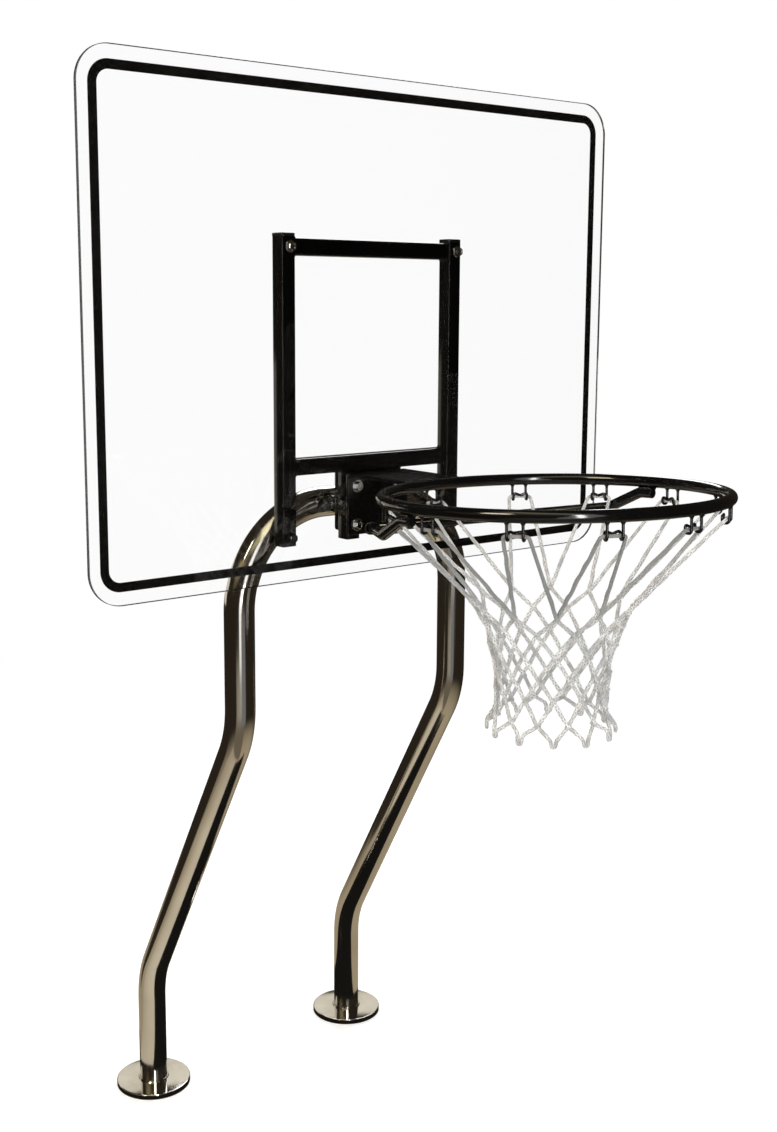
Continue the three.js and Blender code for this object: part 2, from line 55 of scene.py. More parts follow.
TOP_TUBE_Z = 1.079
HALF_SEAM = 0.00015
TUBE_LIP = 0.0003
BOTH_SIDES = (("left", -1), ("right", 1))
STEEL_LIGHT = (0.78, 0.76, 0.72, 1)
STEEL_DARK = (0.66, 0.63, 0.58, 1)


def bent(corners, step=math.radians(3)):
    """The middle line of a bent rod, from corners of (place, bend radius)."""
    points = [Vector(corners[0][0])]
    for (before, _), (place, bend), (after, _) in zip(corners, corners[1:], corners[2:]):
        corner = Vector(place)
        back = (Vector(before) - corner).normalized()
        on = (Vector(after) - corner).normalized()
        turn = math.pi - back.angle(on)
        reach = bend * math.tan(turn / 2)
        middle = corner + (back + on).normalized() * (bend / math.cos(turn / 2))
        arm = corner + back * reach - middle
        axis = arm.cross(corner + on * reach - middle)
        count = max(1, math.ceil(turn / step))
        for k in range(count + 1):
            points.append(middle + Matrix.Rotation(turn * k / count, 3, axis) @ arm)
    points.append(Vector(corners[-1][0]))
    return points


def circle(radius, sides):
    """A round outline as (across, up) pairs."""
    turns = [2 * math.pi * k / sides for k in range(sides)]
    return [(radius * math.cos(turn), radius * math.sin(turn)) for turn in turns]


def swept(points, outline, across=None, closed=False):
    """Rings of the outline, set square to a line and carried along it with no twist."""
    runs = [(b - a).normalized() for a, b in zip(points, points[1:] + points[:1])]
    if not closed:
        runs[-1] = runs[-2]
    heads = [
        (runs[i - 1] + run).normalized() if closed or i else run for i, run in enumerate(runs)
    ]
    side = across or heads[0].orthogonal().normalized()
    rings, walked = [], 0
    for i, (point, head) in enumerate(zip(points, heads)):
        if i:
            side = heads[i - 1].rotation_difference(head) @ side
            walked += (point - points[i - 1]).length
        pairs = outline(walked) if callable(outline) else outline
        up = head.cross(side)
        rings.append([point + a * side + b * up for a, b in pairs])
    return rings


def drawn_in(ring, lip):
    """A ring made smaller all round by the lip, for a broken edge."""
    middle = sum(ring, Vector()) / len(ring)
    return [v + (middle - v).normalized() * lip for v in ring]


def rod(points, outline, lip, bore=None, across=None):
    """The shell of a rod or, with a bore, of a tube: its rings, and whether they close up."""
    first = (points[1] - points[0]).normalized() * lip
    last = (points[-2] - points[-1]).normalized() * lip
    line = [points[0], points[0] + first, *points[1:-1], points[-1] + last, points[-1]]
    rings = swept(line, outline, across)
    rings[0], rings[-1] = drawn_in(rings[0], lip), drawn_in(rings[-1], lip)
    if bore:
        rings += swept(points, bore, across)[::-1]
    return rings, bool(bore)


def placed(name, data):
    """A new object in the scene that shows this data."""
    made = bpy.data.objects.new(name, data)
    bpy.context.scene.collection.objects.link(made)
    return made


def faced_out(mesh, joined_within=0):
    """Turns a mesh's faces outward. Points that lie on one another are joined first."""
    work = bmesh.new()
    work.from_mesh(mesh)
    if joined_within:
        bmesh.ops.remove_doubles(work, verts=work.verts, dist=joined_within)
    bmesh.ops.recalc_face_normals(work, faces=work.faces)
    work.to_mesh(mesh)
    work.free()


def skinned(name, shells, material, crease=35):
    """One mesh object over shells of rings. Its material can read each point's course."""
    vertices, faces, course = [], [], []
    for rings, loop in shells:
        start, sides, count = len(vertices), len(rings[0]), len(rings)
        walked = 0
        for i, ring in enumerate(rings):
            walked += (ring[0] - rings[i - 1][0]).length if i else 0
            vertices.extend(ring)
            course.extend((x, y, walked) for x, y in circle(1, sides))
        for i in range(count if loop else count - 1):
            a, b = start + i * sides, start + (i + 1) % count * sides
            for k in range(sides):
                n = (k + 1) % sides
                faces.append((a + k, a + n, b + n, b + k))
        if not loop:
            faces.append(tuple(range(start, start + sides)))
            faces.append(tuple(range(start + (count - 1) * sides, start + count * sides)))
    mesh = bpy.data.meshes.new(name)
    mesh.from_pydata(vertices, [], faces)
    faced_out(mesh)
    kept = mesh.attributes.new("course", "FLOAT_VECTOR", "POINT")
    kept.data.foreach_set("vector", [value for point in course for value in point])
    mesh.shade_smooth()
    mesh.set_sharp_from_angle(angle=math.radians(crease))
    mesh.materials.append(material)
    return placed(name, mesh)


def add(tree, kind, sockets=None, **settings):
    """A shader node with its settings, and each named socket given a value or a link."""
    made = tree.nodes.new("ShaderNode" + kind)
    for key, value in settings.items():
        setattr(made, key, value)
    for label, value in (sockets or {}).items():
        if isinstance(value, bpy.types.NodeSocket):
            tree.links.new(value, made.inputs[label])
        else:
            made.inputs[label].default_value = value
    return made


def new_group(name, inputs, outputs):
    """An empty node group with its sockets, and the nodes at its two ends."""
    group = bpy.data.node_groups.new(name, "ShaderNodeTree")
    kinds = {"c": "NodeSocketColor", "f": "NodeSocketFloat", "v": "NodeSocketVector"}
    for label, kind in inputs:
        group.interface.new_socket(label, in_out="INPUT", socket_type=kinds[kind])
    for label, kind in outputs:
        group.interface.new_socket(label, in_out="OUTPUT", socket_type=kinds[kind])
    return group, group.nodes.new("NodeGroupInput"), group.nodes.new("NodeGroupOutput")


def maths(tree, operation, *values):
    """What comes out of a sum with one to three values."""
    return add(tree, "Math", dict(enumerate(values)), operation=operation).outputs[0]


def ramp(tree, value, start, end, **settings):
    """A share that climbs from 0 to 1 as the value goes from the start to the end."""
    return add(tree, "MapRange", {
        "Value": value, "From Min": start, "From Max": end,
    }, **settings).outputs["Result"]


def mixed(tree, share, first, second):
    """A colour between two others."""
    return add(tree, "MixRGB", {"Fac": share, "Color1": first, "Color2": second}).outputs["Color"]


# The worked surface: tone that drifts over a piece, and a fine grain in its gloss and relief.
worked, given, result = new_group(
    "worked_surface",
    [("Place", "v"), ("Tone Scale", "f"), ("Light", "c"), ("Dark", "c"),
     ("Grain Place", "v"), ("Grain Scale", "f"), ("Smooth", "f"), ("Rough", "f")],
    [("Color", "c"), ("Roughness", "f"), ("Height", "f")],
)
drift = add(worked, "TexNoise", {
    "Vector": given.outputs["Place"], "Scale": given.outputs["Tone Scale"], "Detail": 4.0,
})
drifted = ramp(worked, drift.outputs["Fac"], 0.35, 0.65)
tone = mixed(worked, drifted, given.outputs["Dark"], given.outputs["Light"])
grain = add(worked, "TexNoise", {
    "Vector": given.outputs["Grain Place"], "Scale": given.outputs["Grain Scale"], "Detail": 5.0,
})
gloss = add(worked, "MapRange", {
    "Value": grain.outputs["Fac"], "From Min": 0.3, "From Max": 0.7,
    "To Min": given.outputs["Smooth"], "To Max": given.outputs["Rough"],
})
worked.links.new(tone, result.inputs["Color"])
worked.links.new(gloss.outputs["Result"], result.inputs["Roughness"])
worked.links.new(grain.outputs["Fac"], result.inputs["Height"])


def worked_material(name, light, dark, smooth, rough, tone_scale, grain_scale, relief, depth,
                    stretch=None, plain=None):
    """A material on the worked surface. Stretch draws its grain out along the piece's course."""
    material = bpy.data.materials.new(name)
    material.use_nodes = True
    tree = material.node_tree
    shader = tree.nodes["Principled BSDF"]
    place = add(tree, "TexCoord").outputs["Object"]
    grain_place = place
    if stretch:
        course = add(tree, "Attribute", attribute_name="course").outputs["Vector"]
        grain_place = add(tree, "VectorMath", {
            0: course, 1: stretch,
        }, operation="MULTIPLY").outputs["Vector"]
    surface = add(tree, "Group", {
        "Place": place, "Tone Scale": tone_scale, "Light": light, "Dark": dark,
        "Grain Place": grain_place, "Grain Scale": grain_scale, "Smooth": smooth, "Rough": rough,
    }, node_tree=worked)
    bump = add(tree, "Bump", {
        "Height": surface.outputs["Height"], "Strength": relief, "Distance": depth,
    })
    tree.links.new(surface.outputs["Color"], shader.inputs["Base Color"])
    tree.links.new(surface.outputs["Roughness"], shader.inputs["Roughness"])
    tree.links.new(bump.outputs["Normal"], shader.inputs["Normal"])
    for label, value in (plain or {}).items():
        shader.inputs[label].default_value = value
    return material


stainless = worked_material(
    "polished_stainless", STEEL_LIGHT, STEEL_DARK, 0.08, 0.15, tone_scale=5, grain_scale=9,
    relief=0.09, depth=0.0001, stretch=(3.5, 3.5, 0.5), plain={"Metallic": 1},
)

for side_name, side in BOTH_SIDES:
    line = bent([
        ((side * LEG_X, 0, 0), 0),
        ((side * LEG_X, 0, LOWER_BEND_Z), TUBE_BEND),
        ((side * LEG_X, TOP_TUBE_Y, UPPER_BEND_Z), TUBE_BEND),
        ((side * LEG_X, TOP_TUBE_Y, TOP_TUBE_Z), TUBE_BEND),
        ((side * HALF_SEAM, TOP_TUBE_Y, TOP_TUBE_Z), 0),
    ])
    leg = skinned(f"{side_name}_leg_tube", [rod(
        line, circle(TUBE_RADIUS, TUBE_SIDES), TUBE_LIP,
        circle(TUBE_RADIUS - TUBE_WALL, TUBE_SIDES),
    )], stainless)
    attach(leg, "stand")
    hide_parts(f"{side_name}_leg")

# Sleeve. A shorter stainless tube, turned down to slip inside both legs where they meet.
# It stays as it was drawn and only takes a sawn and turned finish.
TURNED_LIGHT = (0.6, 0.59, 0.57, 1)
TURNED_DARK = (0.5, 0.49, 0.47, 1)
turned = worked_material(
    "turned_stainless", TURNED_LIGHT, TURNED_DARK, 0.25, 0.4,
    tone_scale=30, grain_scale=1500, relief=0.1, depth=0.0001, plain={"Metallic": 1},
)
sleeve_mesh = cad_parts["splice_sleeve"].data
sleeve_mesh.materials.clear()
sleeve_mesh.materials.append(turned)

# Deck flanges. Spun stainless covers with a rolled rim and a short collar, loose on the legs,
# so that they lift off the deck to reach the anchors. They are brushed round on the lathe.
FLANGE_RADIUS = 0.0654
FLANGE_HEIGHT = 0.0095
FLANGE_SHEET = 0.0024
FLANGE_FILLET = 0.0016
FLANGE_CROWN = 0.0012
FLANGE_BORE = TUBE_RADIUS + 0.0006
COLLAR_WALL = 0.0018
COLLAR_HEIGHT = 0.003
COLLAR_ROUND = 0.0006
FLANGE_SIDES = 128


def quarter(x, z, radius, start, steps=6):
    """Points of a quarter turn in a lathe's profile, as (distance from the axis, height)."""
    turns = [math.radians(start) - math.pi / 2 * k / steps for k in range(steps + 1)]
    return [(x + radius * math.cos(turn), z + radius * math.sin(turn)) for turn in turns]


def spun(profile, sides):
    """Rings of a profile turned round the upright axis through the origin."""
    return [[Vector((x, y, z)) for x, y in circle(r, sides)] for r, z in profile]


brushed = worked_material(
    "brushed_stainless", STEEL_LIGHT, STEEL_DARK, 0.05, 0.11, tone_scale=18, grain_scale=1,
    relief=0.10, depth=0.0001, stretch=(6, 6, 2600), plain={"Metallic": 1, "Anisotropic": 0.5},
)
tree = brushed.node_tree
lathe_way = add(tree, "Tangent", direction_type="RADIAL", axis="Z")
tree.links.new(lathe_way.outputs["Tangent"], tree.nodes["Principled BSDF"].inputs["Tangent"])
collar_radius = FLANGE_BORE + COLLAR_WALL
collar_top = FLANGE_HEIGHT + FLANGE_CROWN + COLLAR_HEIGHT
flange_profile = [
    (FLANGE_RADIUS - FLANGE_SHEET, 0),
    (FLANGE_RADIUS, 0),
    *quarter(
        FLANGE_RADIUS - FLANGE_FILLET, FLANGE_HEIGHT - FLANGE_FILLET, FLANGE_FILLET, 90, 8,
    )[::-1],
    (collar_radius + COLLAR_ROUND, FLANGE_HEIGHT + FLANGE_CROWN),
    (collar_radius, FLANGE_HEIGHT + FLANGE_CROWN + COLLAR_ROUND),
    *quarter(collar_radius - COLLAR_ROUND, collar_top - COLLAR_ROUND, COLLAR_ROUND, 90)[::-1],
    (FLANGE_BORE, collar_top),
    (FLANGE_BORE, FLANGE_HEIGHT + FLANGE_CROWN - FLANGE_SHEET),
    (FLANGE_RADIUS - FLANGE_SHEET, FLANGE_HEIGHT - FLANGE_SHEET),
]
for side_name, side in BOTH_SIDES:
    flange = skinned(
        f"{side_name}_deck_flange", [(spun(flange_profile, FLANGE_SIDES), True)], brushed, 30,
    )
    flange.location.x = side * LEG_X
    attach(flange, f"{side_name}_flange")
    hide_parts(f"{side_name}_escutcheon")

# Frame bars. Square steel tube with the rolled corners that such tube has, welded into a ladder
# and stubs that the board bolts to, and painted gloss black with the rest of the frame.
BAR_WALL = 0.0019
BAR_ROUND = 0.0028
BORE_ROUND = 0.001
BAR_LIP = 0.0003
PAINT_LIGHT = (0.0045, 0.0045, 0.0047, 1)
PAINT_DARK = (0.0022, 0.0022, 0.0024, 1)
BARS = (
    "left_upright", "right_upright", "left_stub", "right_stub",
    "upper_crossbar", "lower_crossbar",
)


def rounded_box(width, height, radius, steps=6):
    """A rectangular outline with round corners, as (across, up) pairs."""
    pairs = []
    for turn, (sx, sy) in enumerate(((1, 1), (-1, 1), (-1, -1), (1, -1))):
        for k in range(steps + 1):
            angle = math.pi / 2 * (turn + k / steps)
            pairs.append((
                sx * (width / 2 - radius) + radius * math.cos(angle),
                sy * (height / 2 - radius) + radius * math.sin(angle),
            ))
    return pairs


black_gloss = worked_material(
    "black_gloss_paint", PAINT_LIGHT, PAINT_DARK, 0.07, 0.15, tone_scale=9, grain_scale=650,
    relief=0.06, depth=0.0003, plain={"Coat Weight": 0.35, "Coat Roughness": 0.08},
)
for node in BARS:
    low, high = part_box(node)
    size, middle = high - low, (high + low) / 2
    reach = Vector((size.x, 0, 0) if node.endswith("crossbar") else (0, 0, size.z)) / 2
    bar = size.y
    shell = rod(
        [middle - reach, middle + reach], rounded_box(bar, bar, BAR_ROUND), BAR_LIP,
        rounded_box(bar - 2 * BAR_WALL, bar - 2 * BAR_WALL, BORE_ROUND), Vector((0, 1, 0)),
    )
    piece = skinned(f"{node}_tube", [shell], black_gloss)
    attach(piece, "stand")
    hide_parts(node)

# Frame welds. A bead runs along the corner at each joint of the bars, with the ripple that
# the torch leaves. The joints are ground flush in front, where the board lies on them.
WELD_RADIUS = 0.0023
WELD_RIPPLE = 0.0021
WELD_SWELL = 0.13
WELD_END = 0.7
WELD_SIDES = 12


def bead(name, runs, radius, material):
    """Weld beads along runs of points, as one piece."""
    def outline(walked):
        swell = 1 + WELD_SWELL * math.sin(2 * math.pi * walked / WELD_RIPPLE)
        return circle(radius * swell, WELD_SIDES)
    shells = []
    for run in runs:
        line = evenly([Vector(p) for p in run], WELD_RIPPLE / 5)
        rings = swept(line, outline)
        for end in (0, -1):
            rings[end] = drawn_in(rings[end], radius * WELD_END)
        shells.append((rings, False))
    return skinned(name, shells, material, 180)


def evenly(points, step):
    """The same line with points a step apart."""
    walked = [0]
    for a, b in zip(points, points[1:]):
        walked.append(walked[-1] + (b - a).length)
    count = max(2, round(walked[-1] / step))
    found, at = [], 0
    for k in range(count + 1):
        place = walked[-1] * k / count
        while at < len(points) - 2 and walked[at + 1] < place:
            at += 1
        span = walked[at + 1] - walked[at]
        found.append(points[at].lerp(points[at + 1], (place - walked[at]) / span if span else 0))
    return found


weld_runs = []
for node in ("upper_crossbar", "lower_crossbar"):
    low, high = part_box(node)
    for x in (low.x, high.x):
        for z in (low.z, high.z):
            weld_runs.append([(x, low.y + BAR_ROUND, z), (x, high.y - BAR_ROUND, z)])
        weld_runs.append([(x, high.y, low.z + BAR_ROUND), (x, high.y, high.z - BAR_ROUND)])
for node in ("left_stub", "right_stub"):
    low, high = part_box(node)
    for x in (low.x, high.x):
        weld_runs.append([(x, low.y + BAR_ROUND, high.z), (x, high.y - BAR_ROUND, high.z)])
frame_welds = bead("frame_welds", weld_runs, WELD_RADIUS, black_gloss)
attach(frame_welds, "stand")

# Bar caps. Moulded black plastic lids, a little proud of the bar all round, pushed into the
# tops of the two uprights to keep water out.
CAP_ROUND = 0.0035
CAP_DOME = 0.0011
CAP_EDGE = 0.0003
CAP_SHOULDER_IN = 0.0009
CAP_CROWN_IN = 0.0034
PLUG_SLACK = 0.0007
PLUG_TAPER = 0.0016
PLASTIC_LIGHT = (0.008, 0.008, 0.008, 1)
PLASTIC_DARK = (0.004, 0.004, 0.004, 1)
black_plastic = worked_material(
    "black_moulded_plastic", PLASTIC_LIGHT, PLASTIC_DARK, 0.38, 0.52,
    tone_scale=40, grain_scale=2200, relief=0.2, depth=0.0002,
)
for side_name in ("left", "right"):
    low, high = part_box(f"{side_name}_upright_cap")
    bar_low, bar_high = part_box(f"{side_name}_upright")
    middle = (low + high) / 2
    lid = high.x - low.x
    plug = bar_high.x - bar_low.x - 2 * BAR_WALL - PLUG_SLACK
    plug_y = (bar_low.y + bar_high.y) / 2
    rings = [
        [Vector((middle.x + a, y + b, z)) for a, b in rounded_box(size, size, radius)]
        for size, radius, z, y in (
            (plug - PLUG_TAPER, BORE_ROUND, low.z, plug_y),
            (plug, BORE_ROUND, low.z + PLUG_TAPER, plug_y),
            (plug, BORE_ROUND, bar_high.z, plug_y),
            (lid - 2 * CAP_EDGE, CAP_ROUND, bar_high.z, middle.y),
            (lid, CAP_ROUND, bar_high.z + CAP_EDGE, middle.y),
            (lid, CAP_ROUND, high.z - CAP_DOME, middle.y),
            (lid - CAP_SHOULDER_IN, CAP_ROUND, high.z - CAP_DOME / 3, middle.y),
            (lid - CAP_CROWN_IN, CAP_ROUND, high.z, middle.y),
        )
    ]
    cap = skinned(f"{side_name}_bar_cap", [(rings, False)], black_plastic)
    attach(cap, "stand")
    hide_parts(f"{side_name}_upright_cap")

# Backing plate. Flame-cut steel behind the stubs. The top tube is welded along its back face,
# and the rim's four bolts draw the board, the stubs and this plate together.
PLATE_ROUND = 0.005
PLATE_EDGE = 0.0007
FLAT_ON = 0.999
BOLT_RADIUS = 0.00397
HOLE_RADIUS = BOLT_RADIUS + 0.0004
HOLE_SIDES = 24


def plate(name, outline, holes, thickness, edge, material, stand=None):
    """A flat plate with broken edges. Stand is an upright one's back face and middle height."""
    line = bpy.data.curves.new(name, "CURVE")
    line.dimensions = "2D"
    line.fill_mode = "BOTH"
    line.extrude = thickness / 2 - edge
    line.bevel_depth = edge
    line.bevel_resolution = 2
    line.offset = -edge
    for loop in (outline, *holes):
        spline = line.splines.new("POLY")
        spline.points.add(len(loop) - 1)
        spline.use_cyclic_u = True
        for point, (x, y) in zip(spline.points, loop):
            point.co = (x, y, 0, 1)
    shaper = placed(name, line)
    bpy.context.view_layer.update()
    mesh = bpy.data.meshes.new_from_object(shaper)
    bpy.data.objects.remove(shaper)
    mesh.shade_smooth()
    mesh.set_sharp_from_angle(angle=math.radians(40))
    for face in mesh.polygons:
        face.use_smooth = abs(face.normal.z) < FLAT_ON
    if stand:
        back, height = stand
        turn = Matrix.Rotation(math.pi / 2, 4, "X")
        mesh.transform(Matrix.Translation((0, back - thickness / 2, height)) @ turn)
    faced_out(mesh, joined_within=1e-6)
    mesh.materials.clear()
    mesh.materials.append(material)
    return placed(name, mesh)


def bolt_places(kind):
    """Where a set of bolts goes through, as (name, x, z), from the nodes of the bolts."""
    found = []
    for node in sorted(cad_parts):
        if node.startswith(f"{kind}_bolt_"):
            low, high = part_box(node)
            middle = (low + high) / 2
            found.append((node.replace(f"{kind}_bolt_", ""), middle.x, middle.z))
    return found


def drilled_plate(name, node, corner, places, edge, material, steps=6):
    """An upright plate with round corners that fills a node's box, drilled for bolts."""
    low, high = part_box(node)
    middle = (low.z + high.z) / 2
    return plate(
        name, rounded_box(high.x - low.x, high.z - low.z, corner, steps),
        [[(x + a, z - middle + b) for a, b in circle(HOLE_RADIUS, HOLE_SIDES)]
         for _, x, z in places],
        high.y - low.y, edge, material, (high.y, middle),
    )


rim_holes = bolt_places("rim")
backing = drilled_plate(
    "backing_plate_steel", "backing_plate", PLATE_ROUND, rim_holes, PLATE_EDGE, black_gloss,
)
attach(backing, "stand")
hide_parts("backing_plate")

# Tube welds. Two long fillets, above and below the line where the top tube lies on the plate,
# left bare, with the straw and bronze tint that the heat draws out of stainless.
TUBE_WELD_RADIUS = 0.0034
TUBE_WELD_RISE = 0.0105
TUBE_WELD_INSET = 0.004
TUBE_WELD_LIFT = 0.0012
STRAW_TINT = (0.62, 0.55, 0.42, 1)
BRONZE_TINT = (0.30, 0.22, 0.16, 1)
heat_tint = worked_material(
    "heat_tinted_weld", STRAW_TINT, BRONZE_TINT, 0.22, 0.42,
    tone_scale=70, grain_scale=900, relief=0.15, depth=0.0003, plain={"Metallic": 1},
)
low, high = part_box("backing_plate")
tube_weld_runs = [
    [(x, high.y + TUBE_WELD_LIFT, TOP_TUBE_Z + rise)
     for x in (low.x + TUBE_WELD_INSET, high.x - TUBE_WELD_INSET)]
    for rise in (TUBE_WELD_RISE, -TUBE_WELD_RISE)
]
tube_welds = bead("tube_welds", tube_weld_runs, TUBE_WELD_RADIUS, heat_tint)
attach(tube_welds, "stand")

# Backboard. A sheet of clear acrylic, routed to shape with large round corners, its edges
# scraped and flame polished, and drilled for the four board bolts and the four rim bolts.
BOARD_ROUND = 0.0515
BOARD_EDGE = 0.0009
BOARD_STEPS = 20
CLEAR_TONE = (1, 1, 1, 1)
CLEAR_GREEN_TONE = (0.995, 1, 0.997, 1)
# Painted shade: a near-black tone for the board's edge faces, in place of the dark that the clear
# edges show.
EDGE_PAINTED_DARK = (0.012, 0.013, 0.012, 1)
clear_acrylic = worked_material(
    "clear_acrylic_sheet", CLEAR_TONE, CLEAR_GREEN_TONE, 0.0, 0.01,
    tone_scale=2, grain_scale=60, relief=0.002, depth=0.0001,
    plain={"Transmission Weight": 1, "IOR": 1.3},
)
tree = clear_acrylic.node_tree
# Painted shade: the edge faces, marked by the edge attribute, take the near-black tone instead of
# the sheet's clear tone.
edge_mask = add(tree, "Attribute", attribute_name="edge").outputs["Fac"]
painted_dark_edge_tone = mixed(tree, edge_mask, tree.nodes["Group"].outputs["Color"], EDGE_PAINTED_DARK)
tree.links.new(painted_dark_edge_tone, tree.nodes["Principled BSDF"].inputs["Base Color"])
board = drilled_plate(
    "clear_backboard", "backboard", BOARD_ROUND, bolt_places("board") + rim_holes,
    BOARD_EDGE, clear_acrylic, BOARD_STEPS,
)
edge = board.data.attributes.new("edge", "FLOAT", "FACE")
edge.data.foreach_set("value", [
    float(abs(face.normal.y) < FLAT_ON) for face in board.data.polygons
])
board.visible_shadow = False
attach(board, "stand")
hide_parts("backboard")

# Border line. A black band screen printed in thick ink on the back of the board, a little way
# in from its edge, with round corners that follow the board's. It shows through the clear sheet.
LINE_INSET = 0.0194
LINE_WIDTH = 0.0136
LINE_LIFT = 0.00006
LINE_EDGE = 0.00012
INK_LIGHT = (0.004, 0.004, 0.004, 1)
INK_DARK = (0.0015, 0.0015, 0.0015, 1)
black_line = worked_material(
    "black_screen_ink", INK_LIGHT, INK_DARK, 0.3, 0.45,
    tone_scale=14, grain_scale=1400, relief=0.15, depth=0.0002,
    plain={"Specular IOR Level": 0.15},
)
board_low, board_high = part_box("backboard")
low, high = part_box("border_line")


def board_inset(distance):
    """The board's outline moved in."""
    size = board_high - board_low
    return rounded_box(
        size.x - 2 * distance, size.z - 2 * distance, BOARD_ROUND - distance, BOARD_STEPS,
    )


border = plate(
    "board_border_line", board_inset(LINE_INSET), [board_inset(LINE_INSET + LINE_WIDTH)],
    high.y - low.y - LINE_LIFT, LINE_EDGE, black_line,
    (high.y, (board_low.z + board_high.z) / 2),
)
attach(border, "stand")
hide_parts("border_line")

# Bolts, washers and nuts. Hexagon bolts go in from the front, each with a plain washer under its
# head and a nut behind. They are zinc plated, and the board's lower pair is black.
HEX_FLATS = 0.0127
HEX_EDGE = 0.0003
FACE_RADIUS = HEX_FLATS / 2 * 0.95
HEAD_HEIGHT = 0.0056
HEAD_DISH = ((0.72, 0), (0.62, 0.0005))
NUT_HEIGHT = 0.0068
NUT_EDGE = 0.0004
NUT_BORE = BOLT_RADIUS + 0.0003
NUT_MOUTH = BOLT_RADIUS + 0.0009
NUT_COUNTERSINK = 0.0005
WASHER_RADIUS = 0.00875
RIM_WASHER_RADIUS = 0.0102
WASHER_THICKNESS = 0.0016
WASHER_EDGE = 0.0003
WASHER_ROLL = 0.0004
SHANK_START = 0.0005
THREAD_LENGTH = 0.011
THREAD_STEPS = 28
THREAD_PITCH = 0.0014
THREAD_DEPTH = 0.0007
HEX_SIDES = 48
ZINC_LIGHT = (0.78, 0.78, 0.76, 1)
ZINC_DARK = (0.60, 0.61, 0.61, 1)
zinc = worked_material(
    "zinc_plate", ZINC_LIGHT, ZINC_DARK, 0.07, 0.16,
    tone_scale=160, grain_scale=2500, relief=0.12, depth=0.0001, plain={"Metallic": 1},
)


def hex_ring(height, chamfered_to=None):
    """A ring round a hexagon. Where it is chamfered, its corners drop on a 30 degree cone."""
    ring = []
    for k, (x, y) in enumerate(circle(1, HEX_SIDES)):
        off_flat = (2 * math.pi * k / HEX_SIDES + math.pi / 6) % (math.pi / 3) - math.pi / 6
        radius = HEX_FLATS / 2 / math.cos(off_flat)
        drop = (radius - chamfered_to) * math.tan(math.pi / 6) if chamfered_to else 0
        ring.append(Vector((radius * x, radius * y, height - drop)))
    return ring


def round_ring(radius, height):
    """A plain ring with as many points as the hexagons have."""
    return [Vector((x, y, height)) for x, y in circle(radius, HEX_SIDES)]


for kind in ("board", "rim"):
    for name, x, z in bolt_places(kind):
        dark = kind == "board" and name.startswith("lower")
        plating, slot = (black_gloss, "black_gloss") if dark else (zinc, "zinc_plate")
        low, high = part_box(f"{kind}_bolt_{name}")
        seat = low.y + HEAD_HEIGHT
        length = high.y - seat
        shank = [
            round_ring(BOLT_RADIUS, SHANK_START),
            round_ring(BOLT_RADIUS, SHANK_START + THREAD_LENGTH - length),
        ]
        for step in range(THREAD_STEPS + 1):
            depth = length - THREAD_LENGTH * (1 - step / THREAD_STEPS)
            thread = []
            for k, (across, up) in enumerate(circle(1, HEX_SIDES)):
                phase = (depth / THREAD_PITCH + k / HEX_SIDES) % 1
                radius = BOLT_RADIUS - THREAD_DEPTH * abs(2 * phase - 1)
                thread.append(Vector((radius * across, radius * up, -depth)))
            shank.append(thread)
        head = [
            round_ring(FACE_RADIUS, 0), hex_ring(HEX_EDGE), hex_ring(HEAD_HEIGHT, FACE_RADIUS),
            round_ring(FACE_RADIUS, HEAD_HEIGHT),
            *(round_ring(FACE_RADIUS * share, HEAD_HEIGHT - sunk) for share, sunk in HEAD_DISH),
        ]
        washer_radius = RIM_WASHER_RADIUS if kind == "rim" else WASHER_RADIUS
        washer = spun([
            (HOLE_RADIUS, 0), (washer_radius - WASHER_EDGE, 0), (washer_radius, WASHER_EDGE),
            (washer_radius, WASHER_THICKNESS - WASHER_ROLL),
            (washer_radius - WASHER_ROLL, WASHER_THICKNESS), (HOLE_RADIUS, WASHER_THICKNESS),
        ], HEX_SIDES)
        nut = [
            round_ring(NUT_BORE, 0), round_ring(FACE_RADIUS, 0), hex_ring(NUT_EDGE),
            hex_ring(NUT_HEIGHT, FACE_RADIUS), round_ring(FACE_RADIUS, NUT_HEIGHT),
            round_ring(NUT_MOUTH, NUT_HEIGHT), round_ring(NUT_BORE, NUT_HEIGHT - NUT_COUNTERSINK),
        ]
        for shape, part, shells, y, outward in (  # made upright, then laid over to face out
            ("hex", "bolt", [(head, False), (shank, False)], seat, -1),
            ("plain", "washer", [(washer, True)], seat + WASHER_THICKNESS, -1),
            ("hex", "nut", [(nut, True)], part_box(f"{kind}_nut_{name}")[0].y, 1),
        ):
            place = Matrix.Translation((x, y, z)) @ Matrix.Rotation(-outward * math.pi / 2, 4, "X")
            shells = [
                ([[place @ v for v in ring] for ring in rings], loop) for rings, loop in shells
            ]
            piece = skinned(f"{kind}_{shape}_{part}_{name}", shells, plating, 25)
            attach(piece, "stand")
            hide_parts(f"{kind}_{part}_{name}")

# Rim plate. The upright plate that the whole rim hangs from, bolted through the board.
_, rim_front, rim_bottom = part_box("rim_plate")[0]
rim_face = drilled_plate(
    "rim_face_plate", "rim_plate", PLATE_ROUND, rim_holes, PLATE_EDGE, black_gloss,
)
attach(rim_face, "stand")
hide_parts("rim_plate")

